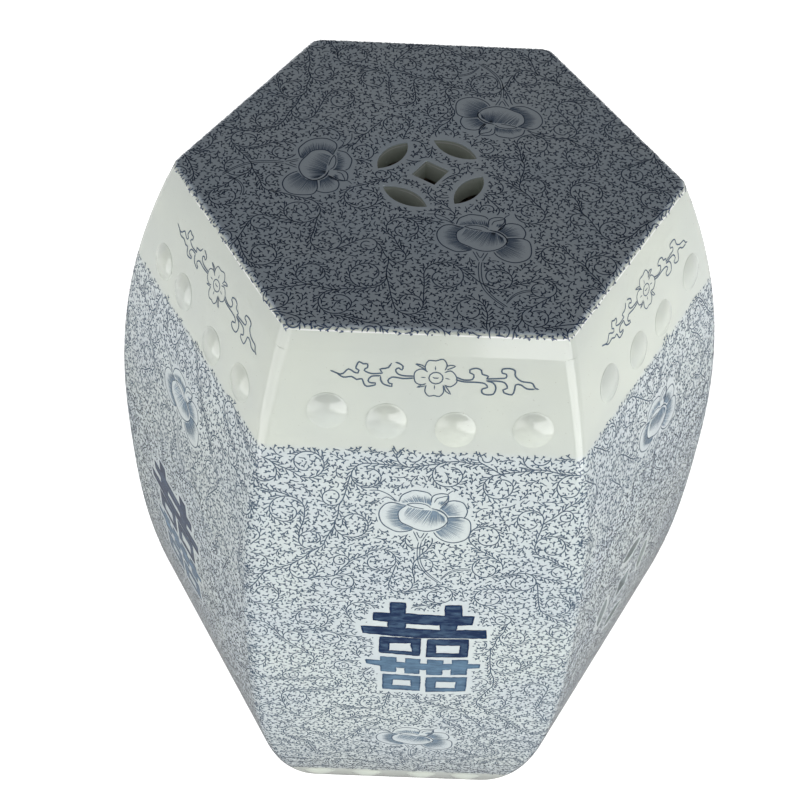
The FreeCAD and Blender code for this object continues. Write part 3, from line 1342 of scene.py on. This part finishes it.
def add_wash(loops, load):
    """A filled outline, with its hole, cut into strips."""
    rings = [[Vector((x, y, wash_lift)) for x, y in loop] for loop in loops]
    corners = [corner for ring in rings for corner in ring]
    triangles = tessellate_polygon(rings)
    faces = []
    for a, b, c in triangles:
        turn = (corners[b] - corners[a]).cross(corners[c] - corners[a]).z
        faces.append((a, b, c) if turn > 0 else (a, c, b))
    wash = add_flat_mesh("wash", corners, faces, [load] * len(corners))
    enter_edit(wash)
    height = min(corner.y for corner in corners) + wash_strip
    while height < max(corner.y for corner in corners):
        bpy.ops.mesh.select_all(action="SELECT")
        bpy.ops.mesh.bisect(plane_co=(0, height, 0), plane_no=(0, 1, 0))
        height += wash_strip
    leave_edit()
    return wash


def make_painting(name, sheet, lay_on):
    """One mesh of all the ink on a sheet, laid on the stool by lay_on."""
    pieces = [add_wash(loops, load) for loops, load in sheet.washes]
    pieces.append(add_flat_mesh(name, *strip_mesh(sheet)))
    painting = join_as(name, pieces)
    flat = read_points(painting)
    mesh = painting.data
    span = max(sheet.right - sheet.left, sheet.high - sheet.low)
    index = np.empty(len(mesh.loops), int)
    mesh.loops.foreach_get("vertex_index", index)
    spots = (flat[index, :2] - (sheet.left, sheet.low)) / span
    layer = mesh.uv_layers.new(name="OFBake")
    layer.data.foreach_set("uv", np.clip(spots, 0, 1).ravel())
    points, normals = lay_on(*(flat.T * MM))
    write_points(painting, points)
    mesh.normals_split_custom_set_from_vertices([tuple(normal) for normal in normals])
    return painting


# %% [markdown]
# Each wall has its own drawing, as on a hand-finished pot, where nothing sits
# in quite the same place twice. The flowers and signs go down first, with the
# holes of the coin kept bare, and the vine grows in what is left, up to the
# mitres and the two plain bands.

# %% Lay out the walls
pattern_heights = (61 * MM, 396.5 * MM)
scroll_heights = (22.0, 436.5)
wall_sheet = (-96, -245, 96, 240)
wall_seed = 100
wall_coin_margin = 2.2
wall_drawings = {
    "front": {"flowers": [(4.5, 356), (8, 135)], "sign": (7.5, 250), "scroll": 5},
    "front_right": {"flowers": [(5, 352), (-3, 108)], "scroll": 5.5},
    "back_right": {"flowers": [(-4, 353), (2, 131)], "sign": (3, 247), "scroll": -3},
    "back": {"flowers": [(2, 357), (-5, 134)], "sign": (-4, 249), "scroll": 2},
    "back_left": {"flowers": [(-5, 351), (4, 107)], "scroll": -4},
    "front_left": {"flowers": [(-2, 352), (-9, 126)], "sign": (-16, 233), "scroll": 6},
}


def on_sheet(place):
    """Millimetres right of the middle and height, as a place on the sheet."""
    return (place[0], along_at(place[1] * MM) / MM)


def wall_outline(low, high):
    """The sheet's edge from mitre to mitre between two heights."""
    steps = np.linspace(along_at(low) / MM, along_at(high) / MM, 60)
    half = (flat_half(height_at(steps * MM)) + corner_round * half_corner) / MM
    right = list(zip(half.tolist(), steps.tolist()))
    return right + [(-x, y) for x, y in reversed(right)]


def coin_outlines(coin, centre, turn):
    """The square and the four lenses of a coin, as closed outlines in mm."""
    half = coin["square"] / 2 / MM
    outlines = [placed([(-half, -half), (half, -half), (half, half), (-half, half)], centre, turn)]
    reach, length, width = (coin[key] / MM for key in ("reach", "length", "width"))
    bow = (length**2 / 4 + width**2 / 4) / width
    spread = math.asin(length / 2 / bow)
    angles = np.linspace(-spread, spread, 13)
    outer = [(reach + width / 2 - bow + bow * math.cos(a), bow * math.sin(a)) for a in angles]
    inner = [(2 * reach - x, -y) for x, y in outer]
    lens = outer + inner[1:-1]
    for quarter in range(4):
        outlines.append(placed(placed(lens, (0, 0), 90 * quarter), centre, turn))
    return outlines


def on_wall(azimuth):
    return lambda across, along, lift: bend(across, along, lift, azimuth)


def paint_wall(number, name):
    drawing = wall_drawings[name]
    rng = random.Random(wall_seed + number)
    sheet = Sheet(*wall_sheet)
    sheet.open_up(wall_outline(*pattern_heights))
    azimuth = wall_azimuths[name]
    paintings = []
    if "sign" in drawing:
        sign = Sheet(*wall_sheet)
        centre = on_sheet(drawing["sign"])
        draw_sign(sign, rng, centre)
        paintings.append(make_painting("painted_sign_" + name, sign, on_wall(azimuth)))
        for figure in sign_figures:
            sheet.keep_out(placed(figure["edge"], centre), sign_margin)
    else:
        centre = on_sheet((wall_coin_across / MM, wall_coin_height / MM))
        for outline in coin_outlines(wall_coin, centre, math.degrees(wall_coin_turn)):
            sheet.keep_out(outline, wall_coin_margin)
    for place in drawing["flowers"]:
        draw_flower(sheet, rng, on_sheet(place))
    draw_scroll(sheet, on_sheet((drawing["scroll"], scroll_heights[1])))
    draw_scroll(sheet, on_sheet((-drawing["scroll"], scroll_heights[0])), -1)
    grow_vine(sheet, rng)
    fill_gaps(sheet, rng)
    paintings.append(make_painting("painted_vine_" + name, sheet, on_wall(azimuth)))
    return paintings


wall_paintings = {}
for number, name in enumerate(wall_azimuths):
    wall_paintings[name] = paint_wall(number, name)
    print(name, [len(piece.data.polygons) for piece in wall_paintings[name]], "faces of ink")

# %% [markdown]
# The seat has three flowers round its coin and the same vine, which runs over
# the rolled rim and stops a millimetre below it. So this sheet is bent too: each
# point is seen from the nearest side of the hexagon, and what lies past the
# level part turns down round the rim. The lift grows on the turn, because the
# rim of the slab is made of flats and the ink has to clear them.

# %% Paint the seat
seat_flowers = [((28, -50), 0), ((-59, 0.5), -90), ((36.5, 49), 180)]
ink_below_rim = 1.0 * MM
seat_seed = 7
seat_coin_margin = 1.6
sheet_spare = 2


def on_seat(across, along, lift):
    """Points on the seat, or rolled over its rim, and their normals."""
    sides = np.round((np.arctan2(along, across) / half_corner - 1) / 2)
    azimuth = half_corner * (2 * sides + 1)
    right = along * np.cos(azimuth) - across * np.sin(azimuth)
    out = across * np.cos(azimuth) + along * np.sin(azimuth)
    core = seat_radius * to_flat - corner_round
    core_half = core * math.tan(half_corner)
    from_x = np.clip(right, -core_half, core_half)
    from_y = np.minimum(out, core)
    reach = np.hypot(right - from_x, out - from_y)
    way_x = (right - from_x) / np.maximum(reach, tiny)
    way_y = (out - from_y) / np.maximum(reach, tiny)
    past = np.maximum(reach - corner_round + rim_inset, 0)
    turn = np.minimum(past / seat_edge_round, rim_turn)
    below = past - turn * seat_edge_round
    reach = reach - past + seat_edge_round * np.sin(turn) + below * np.cos(turn)
    drop = seat_edge_round * (1 - np.cos(turn)) + below * np.sin(turn)
    local = np.stack([from_x + way_x * reach, from_y + way_y * reach, body_height - drop], axis=1)
    normal = np.stack([way_x * np.sin(turn), way_y * np.sin(turn), np.cos(turn)], axis=1)
    local = local + normal * (lift * (1 + 2 * np.sin(turn)))[:, None]

    def turn_back(vectors):
        x = vectors[:, 1] * np.cos(azimuth) - vectors[:, 0] * np.sin(azimuth)
        y = vectors[:, 1] * np.sin(azimuth) + vectors[:, 0] * np.cos(azimuth)
        return np.stack([x, y, vectors[:, 2]], axis=1)

    return turn_back(local), turn_back(normal)


def paint_seat():
    rng = random.Random(seat_seed)
    rim_length = seat_edge_round * rim_turn - rim_inset + ink_below_rim
    reach = (seat_radius + rim_length / to_flat) / MM
    half = reach + sheet_spare
    sheet = Sheet(-half, -half, half, half)
    edge = [(reach * math.cos(a), reach * math.sin(a)) for a in np.radians(range(0, 360, 60))]
    sheet.open_up(edge)
    sheet.fence(edge)
    for outline in coin_outlines(seat_coin, (0, 0), math.degrees(seat_coin_turn)):
        sheet.keep_out(outline, seat_coin_margin)
    for centre, turn in seat_flowers:
        draw_flower(sheet, rng, centre, turn)
    grow_vine(sheet, rng)
    fill_gaps(sheet, rng)
    return make_painting("painted_vine_seat", sheet, on_seat)


seat_painting = paint_seat()
print("seat", len(seat_painting.data.polygons), "faces of ink")

# %% [markdown]
# Glaze and ink share a few effects, so each effect is a node group that is
# built once and then placed in every material that needs it. The helpers below
# only save typing: one adds a node with its settings, one makes a group with
# named sockets, and one makes a material around a Principled BSDF.

# %% Helpers for materials
def add_node(tree, kind, inputs=None, **settings):
    """A node with its settings, and values or links on its named inputs."""
    node = tree.nodes.new(kind)
    for key, value in settings.items():
        setattr(node, key, value)
    feed(tree, node, inputs or {})
    return node


def feed(tree, node, inputs):
    for key, value in inputs.items():
        if isinstance(value, bpy.types.NodeSocket):
            tree.links.new(value, node.inputs[key])
        else:
            node.inputs[key].default_value = value


def calculate(tree, operation, first, second=0.0, third=0.0, clamp=False):
    inputs = {0: first, 1: second, 2: third}
    node = add_node(tree, "ShaderNodeMath", inputs, operation=operation, use_clamp=clamp)
    return node.outputs[0]


def multiply(tree, first, second):
    return calculate(tree, "MULTIPLY", first, second)


def fade(tree, value, start, end):
    """Nought before start, one past end, and smooth between."""
    inputs = {"Value": value, "From Min": start, "From Max": end}
    node = add_node(tree, "ShaderNodeMapRange", inputs, interpolation_type="SMOOTHSTEP")
    return node.outputs["Result"]


def between(tree, value, rise, fall):
    """One between a rise and a fall, each given as start and end."""
    return multiply(tree, fade(tree, value, *rise), fade(tree, value, *fall))


def mix_colours(tree, share, first, second):
    inputs = {0: share, 6: first, 7: second}
    return add_node(tree, "ShaderNodeMix", inputs, data_type="RGBA").outputs[2]


def noise(tree, vector, scale, detail=2.0, roughness=0.5):
    inputs = {"Vector": vector, "Scale": scale, "Detail": detail, "Roughness": roughness}
    return add_node(tree, "ShaderNodeTexNoise", inputs).outputs["Fac"]


def own_place(tree, stretch=(1, 1, 1)):
    """Object coordinates in metres, stretched if asked."""
    place = add_node(tree, "ShaderNodeTexCoord").outputs["Object"]
    if stretch == (1, 1, 1):
        return place
    return add_node(tree, "ShaderNodeMapping", {"Vector": place, "Scale": stretch}).outputs[0]


def bumped(tree, height):
    """A normal from a height in millimetres."""
    inputs = {"Strength": 1.0, "Distance": MM, "Height": height}
    return add_node(tree, "ShaderNodeBump", inputs).outputs["Normal"]


def new_group(name, inputs, output):
    """A shader node group with named inputs and one named output."""
    tree = bpy.data.node_groups.new(name, "ShaderNodeTree")
    for label, kind, value in inputs:
        socket = tree.interface.new_socket(label, in_out="INPUT", socket_type="NodeSocket" + kind)
        socket.default_value = value
    label, kind = output
    tree.interface.new_socket(label, in_out="OUTPUT", socket_type="NodeSocket" + kind)
    return tree, tree.nodes.new("NodeGroupInput").outputs, tree.nodes.new("NodeGroupOutput").inputs


def place_group(tree, group, inputs):
    """A group's output in a material, with its own values."""
    node = add_node(tree, "ShaderNodeGroup", node_tree=group)
    feed(tree, node, inputs)
    return node.outputs[0]


def new_material(name, constants):
    material = bpy.data.materials.new(name)
    material.use_nodes = True
    shader = material.node_tree.nodes["Principled BSDF"]
    for key, value in constants.items():
        shader.inputs[key].default_value = value
    return material, material.node_tree, shader


# %% [markdown]
# A dipped glaze is never dead level. It sags in long shallow waves and has a
# fine skin like orange peel, and both show in its reflections alone. One group
# gives that as a normal. A second gives the colour of the glaze, which is a
# greenish white where it lies thick and a little greyer where it runs thin.

# %% Shared effects: glaze surface and glaze colour
wave_scale = 22.0
peel_scale = 420.0
speck_scale = 900.0
speck_strength = 0.35
speck_colour = (0.32, 0.3, 0.24, 1)
white = (1, 1, 1, 1)


def make_glaze_surface():
    group, given, made = new_group(
        "glaze_surface", [("Waves", "Float", 0.3), ("Peel", "Float", 0.01)], ("Normal", "Vector")
    )
    place = own_place(group)
    waves = multiply(group, noise(group, place, wave_scale), given["Waves"])
    peel = noise(group, place, peel_scale)
    height = calculate(group, "MULTIPLY_ADD", peel, given["Peel"], waves)
    group.links.new(bumped(group, height), made["Normal"])
    return group


def make_glaze_colour():
    group, given, made = new_group(
        "glaze_colour",
        [("Thick", "Color", white), ("Thin", "Color", white), ("Patches", "Float", 9.0)],
        ("Color", "Color"),
    )
    place = own_place(group)
    clouds = fade(group, noise(group, place, given["Patches"], 3.0, 0.6), 0.35, 0.65)
    colour = mix_colours(group, clouds, given["Thick"], given["Thin"])
    specks = fade(group, noise(group, place, speck_scale, 1.0), 0.74, 0.8)
    specks = multiply(group, specks, speck_strength)
    group.links.new(mix_colours(group, specks, colour, speck_colour), made["Color"])
    return group


glaze_surface = make_glaze_surface()
glaze_colour = make_glaze_colour()
print("groups:", glaze_surface.name, glaze_colour.name)

# %% [markdown]
# Cobalt under a glaze is darkest where the brush was loaded and pales where it
# dragged. A third group mixes a thin and a full blue by the ink load on the
# mesh, and streaks it as bristles do.

# %% Shared effect: cobalt
def make_cobalt():
    group, given, made = new_group(
        "cobalt",
        [
            ("Thin", "Color", (0.2, 0.25, 0.35, 1)),
            ("Full", "Color", (0.03, 0.05, 0.12, 1)),
            ("Grain", "Float", 120.0),
            ("Unevenness", "Float", 0.5),
        ],
        ("Color", "Color"),
    )
    streaks = noise(group, own_place(group, (0.35, 0.35, 1)), given["Grain"], 4.0, 0.65)
    centred = calculate(group, "SUBTRACT", streaks, 0.5)
    uneven = multiply(group, centred, given["Unevenness"])
    load = add_node(group, "ShaderNodeAttribute", attribute_name="ink_load").outputs["Fac"]
    share = calculate(group, "ADD", load, uneven, clamp=True)
    group.links.new(mix_colours(group, share, given["Thin"], given["Full"]), made["Color"])
    return group


cobalt = make_cobalt()
print("group:", cobalt.name)

# %% [markdown]
# Glaze is a smooth glass over the colour, so every glazed material is a glossy
# dielectric. Under the painting the ground is a cooler white, because a little
# cobalt bleeds into the glaze there, so height on the stool blends the tints.
# Round the rim of the seat a thin broken line of near white is painted
# highlight, colour that stands in for the bright line the rim's turn catches.

# %% Glaze and ink materials
glaze_gloss = {"Roughness": 0.05, "IOR": 1.46}
band_tints = {"Thick": (0.70, 0.745, 0.665, 1), "Thin": (0.645, 0.69, 0.64, 1)}
ground_tints = {"Thick": (0.70, 0.765, 0.755, 1), "Thin": (0.65, 0.715, 0.74, 1)}
seat_tints = {"Thick": (0.66, 0.745, 0.82, 1), "Thin": (0.60, 0.695, 0.79, 1)}
ground_rise = (56 * MM, 64 * MM)
ground_fall = (399 * MM, 393 * MM)
seat_rise = (body_height - 1.2 * MM, body_height - 0.2 * MM)
# The rim line is painted highlight: near white in the colour, in a band about two millimetres under
# the seat's top, which also rings the seat's coin holes.
rim_highlight_rise = (body_height - 2.7 * MM, body_height - 2.3 * MM)
rim_highlight_fall = (body_height - 1.7 * MM, body_height - 2.1 * MM)
rim_highlight_colour = (0.95, 0.96, 0.94, 1)
rim_highlight_breaks = 60.0
inks = {
    "vine_ink": {
        "Thin": (0.20, 0.28, 0.36, 1),
        "Full": (0.026, 0.051, 0.092, 1),
        "Grain": 90.0,
        "Unevenness": 0.6,
    },
    "seat_ink": {
        "Thin": (0.16, 0.22, 0.32, 1),
        "Full": (0.02, 0.04, 0.10, 1),
        "Grain": 90.0,
        "Unevenness": 0.6,
    },
    "sign_ink": {
        "Thin": (0.15, 0.265, 0.38, 1),
        "Full": (0.004, 0.021, 0.075, 1),
        "Grain": 260.0,
        "Unevenness": 1.6,
    },
}


def new_glossy(name, waves=0.3):
    """A glazed material whose reflections waver, still without a colour."""
    material, tree, shader = new_material(name, glaze_gloss)
    normal = place_group(tree, glaze_surface, {"Waves": waves, "Peel": 0.012})
    tree.links.new(normal, shader.inputs["Normal"])
    return material, tree, shader.inputs["Base Color"]


def make_painted_glaze():
    material, tree, base = new_glossy("glaze_over_painting")
    band = place_group(tree, glaze_colour, {**band_tints, "Patches": 9.0})
    ground = place_group(tree, glaze_colour, {**ground_tints, "Patches": 14.0})
    height = add_node(tree, "ShaderNodeSeparateXYZ", {"Vector": own_place(tree)}).outputs["Z"]
    on_ground = between(tree, height, ground_rise, ground_fall)
    on_walls = mix_colours(tree, on_ground, band, ground)
    top = place_group(tree, glaze_colour, {**seat_tints, "Patches": 14.0})
    colour = mix_colours(tree, fade(tree, height, *seat_rise), on_walls, top)
    # Painted highlight: a thin broken near-white line round the seat's rim.
    line = between(tree, height, rim_highlight_rise, rim_highlight_fall)
    rim_highlight_gaps = fade(tree, noise(tree, own_place(tree), rim_highlight_breaks), 0.35, 0.5)
    line = multiply(tree, line, rim_highlight_gaps)
    tree.links.new(mix_colours(tree, line, colour, rim_highlight_colour), base)
    return material


def make_plain_glaze():
    material, tree, base = new_glossy("glaze_on_buttons", 0.12)
    tree.links.new(place_group(tree, glaze_colour, {**band_tints, "Patches": 30.0}), base)
    return material


def make_ink(name, look):
    material, tree, base = new_glossy(name)
    tree.links.new(place_group(tree, cobalt, look), base)
    return material


painted_glaze = make_painted_glaze()
plain_glaze = make_plain_glaze()
vine_ink, seat_ink, sign_ink = [make_ink(name, look) for name, look in inks.items()]
print("glazes:", painted_glaze.name, plain_glaze.name)
print("inks:", vine_ink.name, seat_ink.name, sign_ink.name)

# %% [markdown]
# Inside, nobody glazed the clay. It is fired to a warm buff, with a sandy grain
# and the marks of a wet sponge. The same clay shows under the foot.

# %% Bare clay
dark_clay = (0.50, 0.42, 0.33, 1)
light_clay = (0.66, 0.60, 0.51, 1)
grit_colour = (0.22, 0.15, 0.09, 1)
cloud_scale = 16.0
sponge_scale = 60.0
grit_scale = 700.0
sand_scale = 1400.0


def make_bare_clay():
    constants = {"Roughness": 0.85, "Specular IOR Level": 0.3}
    material, tree, shader = new_material("clay_unglazed", constants)
    place = own_place(tree)
    clouds = noise(tree, place, cloud_scale, 4.0, 0.6)
    colour = mix_colours(tree, clouds, dark_clay, light_clay)
    grit = fade(tree, noise(tree, place, grit_scale), 0.66, 0.74)
    colour = mix_colours(tree, multiply(tree, grit, 0.6), colour, grit_colour)
    tree.links.new(colour, shader.inputs["Base Color"])
    sponge = multiply(tree, noise(tree, own_place(tree, (1, 1, 6)), sponge_scale, 3.0), 0.25)
    sand = noise(tree, place, sand_scale)
    height = calculate(tree, "MULTIPLY_ADD", sand, 0.08, sponge)
    tree.links.new(bumped(tree, height), shader.inputs["Normal"])
    roughness = calculate(tree, "MULTIPLY_ADD", clouds, 0.2, 0.72)
    tree.links.new(roughness, shader.inputs["Roughness"])
    return material


bare_clay = make_bare_clay()
print("clay:", bare_clay.name)

# %% [markdown]
# A slab is glazed outside, over its rims and in the cut of its coin, and bare
# inside and underneath, so its faces are shared between two material slots by
# where they lie.

# %% Put the materials on
def dress(piece, *materials):
    """Gives a piece these materials and no others."""
    piece.data.materials.clear()
    for material in materials:
        piece.data.materials.append(material)


def finish_slab(slab, is_bare):
    dress(slab, painted_glaze, bare_clay)
    for face in slab.data.polygons:
        face.material_index = 1 if is_bare(face) else 0


def bare_on_wall(azimuth):
    def is_bare(face):
        facing = wall_view(np.array(face.normal), azimuth)[1]
        underneath = face.normal.z < -0.9 and face.center.z < 0.5 * MM
        return bool(facing < -0.5 or underneath)

    return is_bare


def bare_on_seat(face):
    return face.normal.z < -0.9 and face.center.z < seat_underside + MM


for name, wall in walls.items():
    finish_slab(wall, bare_on_wall(wall_azimuths[name]))
    for painting in wall_paintings[name]:
        dress(painting, sign_ink if "sign" in painting.name else vine_ink)
finish_slab(seat, bare_on_seat)
dress(seat_painting, seat_ink)
for row in button_rows.values():
    dress(row, plain_glaze)
clay_nodes = [name for name in nodes if name == "foot_ring" or "coil" in name]
for name in clay_nodes:
    dress(nodes[name], bare_clay)
print("bare clay on", len(clay_nodes), "CAD nodes")

# %% [markdown]
# Every piece now hangs from the body it rides on, and the CAD node that it
# stands for is hidden. The paint stands for no node, because in the CAD model
# it has no thickness.

# %% Attach the pieces and hide the nodes they stand for
for name, wall in walls.items():
    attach(wall, "root")
    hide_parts("wall_" + name)
    for painting in wall_paintings[name]:
        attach(painting, "root")
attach(seat, "root")
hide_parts("seat_slab")
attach(seat_painting, "root")
for node, row in button_rows.items():
    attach(row, "root")
    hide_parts(node)

# %% [markdown]
# The stool stands on a pale floor in a plain studio. Floor and world are white
# to the camera, and the floor still takes the stool's shadow. What the glaze
# mirrors is another matter, and Light Path tells the two apart. In the glaze
# the floor is dim beside the stool and bright far off, the world is bright low
# down and dark overhead, so that the cobalt on the seat stays deep, and two
# sides of the room are lit windows, which draw the bright streaks at the two
# front corners.
#
# Each window has the direction of its sharp edge, the one where it starts to
# fade, the one where it ends, and its glow. Directions are in degrees, as the
# walls' are, and distances on the floor in metres. On the floor the windows
# start far off, and nearer to the stool their soft sides draw in.

# %% Floor and world
floor_colour = (0.8, 0.8, 0.8, 1)
floor_glow = 0.85
gloss_near = 0.32
gloss_far = 0.95
near_to_far = (0.4, 0.9)
gloss_horizon = 0.95
ceiling_glow = 0.12
ceiling_rise = (0.12, 0.5)
windows = ((-176, -112, -97, 2.8), (-30, -82, -88, 4.4))
window_edge = 3
window_lean = 0.48
window_start = (0.95, 1.1)
window_top = (0.27, 0.19)
room_light = 0.19


def seen_rays(tree):
    """One for a ray from the camera or one that a glossy surface throws."""
    path = add_node(tree, "ShaderNodeLightPath").outputs
    seen = calculate(tree, "MAXIMUM", path["Is Camera Ray"], path["Is Glossy Ray"])
    return calculate(tree, "MAXIMUM", seen, path["Is Transmission Ray"])


def white_light(tree, kind, strength):
    """White light from a surface, Emission, or from the world, Background."""
    inputs = {"Color": white, "Strength": strength}
    return add_node(tree, "ShaderNode" + kind, inputs).outputs[0]


def mix_shaders(tree, share, first, second):
    inputs = {0: share, 1: first, 2: second}
    return add_node(tree, "ShaderNodeMixShader", inputs).outputs[0]


def lit_windows(tree, spot, lean=0.0):
    """The lit sides of the room, by the direction of a spot or a ray."""
    turn = calculate(tree, "ARCTAN2", spot["Y"], spot["X"])
    found = 0.0
    for edge, full, end, glow in windows:
        way = math.copysign(1, full - edge)
        sharp = fade(tree, turn, math.radians(edge), math.radians(edge + way * window_edge))
        leaning = calculate(tree, "MULTIPLY_ADD", lean, way, turn)
        soft = fade(tree, leaning, math.radians(end), math.radians(full))
        lit = multiply(tree, sharp, soft)
        found = calculate(tree, "MULTIPLY_ADD", lit, glow, found)
    return found


def mirrored_floor(tree):
    """How bright the floor is in the glaze, by its place round the stool."""
    place = own_place(tree)
    spot = add_node(tree, "ShaderNodeSeparateXYZ", {"Vector": place}).outputs
    length = add_node(tree, "ShaderNodeVectorMath", {0: place}, operation="LENGTH")
    away = length.outputs["Value"]
    farness = fade(tree, away, *near_to_far)
    glow = calculate(tree, "MULTIPLY_ADD", farness, gloss_far - gloss_near, gloss_near)
    lean = calculate(tree, "DIVIDE", window_lean, away)
    lit = multiply(tree, lit_windows(tree, spot, lean), fade(tree, away, *window_start))
    return calculate(tree, "ADD", lit, glow)


def make_floor():
    bpy.ops.object.select_all(action="DESELECT")
    bpy.ops.mesh.primitive_plane_add(size=24)
    floor = bpy.context.object
    floor.name = "floor"
    material = bpy.data.materials.new("floor_paper")
    material.use_nodes = True
    tree = material.node_tree
    tree.nodes.clear()
    pale = add_node(tree, "ShaderNodeBsdfDiffuse", {"Color": floor_colour}).outputs[0]
    glowing = white_light(tree, "Emission", floor_glow)
    shown = add_node(tree, "ShaderNodeAddShader", {0: pale, 1: glowing}).outputs[0]
    mirrored = white_light(tree, "Emission", mirrored_floor(tree))
    glossy = add_node(tree, "ShaderNodeLightPath").outputs["Is Glossy Ray"]
    seen = mix_shaders(tree, glossy, shown, mirrored)
    surface = mix_shaders(tree, seen_rays(tree), pale, seen)
    add_node(tree, "ShaderNodeOutputMaterial", {"Surface": surface})
    floor.data.materials.append(material)


def make_world():
    world = bpy.data.worlds.new("studio")
    bpy.context.scene.world = world
    world.use_nodes = True
    tree = world.node_tree
    tree.nodes.clear()
    facing = add_node(tree, "ShaderNodeTexCoord").outputs["Generated"]
    ray = add_node(tree, "ShaderNodeSeparateXYZ", {"Vector": facing}).outputs
    upwards = fade(tree, ray["Z"], *ceiling_rise)
    ceiling = calculate(tree, "MULTIPLY_ADD", upwards, ceiling_glow - 1.0, 1.0)
    lit = multiply(tree, lit_windows(tree, ray), fade(tree, ray["Z"], *window_top))
    glow = calculate(tree, "MULTIPLY_ADD", ceiling, gloss_horizon, lit)
    to_camera = add_node(tree, "ShaderNodeLightPath").outputs["Is Camera Ray"]
    to_glaze = calculate(tree, "SUBTRACT", 1.0, to_camera)
    bright = calculate(tree, "MULTIPLY_ADD", glow, to_glaze, to_camera)
    seen = white_light(tree, "Background", bright)
    dim = white_light(tree, "Background", room_light)
    surface = mix_shaders(tree, seen_rays(tree), dim, seen)
    add_node(tree, "ShaderNodeOutputWorld", {"Surface": surface})


make_floor()
make_world()
print("room light", room_light, "and floor glow", floor_glow)

# %% [markdown]
# The light comes from four low softboxes that stand round the stool and look
# at its middle, so the walls are bright and the level seat, which they only
# graze, is much darker. A photographer flags such lamps off, so that they don't
# show in the glaze as bright squares: here they are invisible to glossy rays.

# %% Lamps
softboxes = {
    "front_left": {"turn": -140, "away": 1.5, "power": 12.4},
    "front_right": {"turn": -38, "away": 1.5, "power": 15.8},
    "back_left": {"turn": 126, "away": 1.6, "power": 9.0},
    "back_right": {"turn": 54, "away": 1.6, "power": 9.0},
}
softbox_width = 1.0
softbox_height = 0.5
softbox_stand = 0.03
lamp_target = Vector((0, 0, 0.25))


def add_softbox(name, turn, away, power):
    data = bpy.data.lights.new("softbox_" + name, "AREA")
    data.shape = "RECTANGLE"
    data.size = softbox_width
    data.size_y = softbox_height
    data.energy = power
    lamp = bpy.data.objects.new(data.name, data)
    bpy.context.scene.collection.objects.link(lamp)
    angle = math.radians(turn)
    middle = softbox_height / 2 + softbox_stand
    lamp.location = (away * math.cos(angle), away * math.sin(angle), middle)
    facing = lamp_target - lamp.location
    lamp.rotation_euler = facing.to_track_quat("-Z", "Y").to_euler()
    lamp.visible_glossy = False


for name, box in softboxes.items():
    add_softbox(name, **box)
bpy.context.scene.view_settings.view_transform = "Standard"
print("softboxes:", len(softboxes))
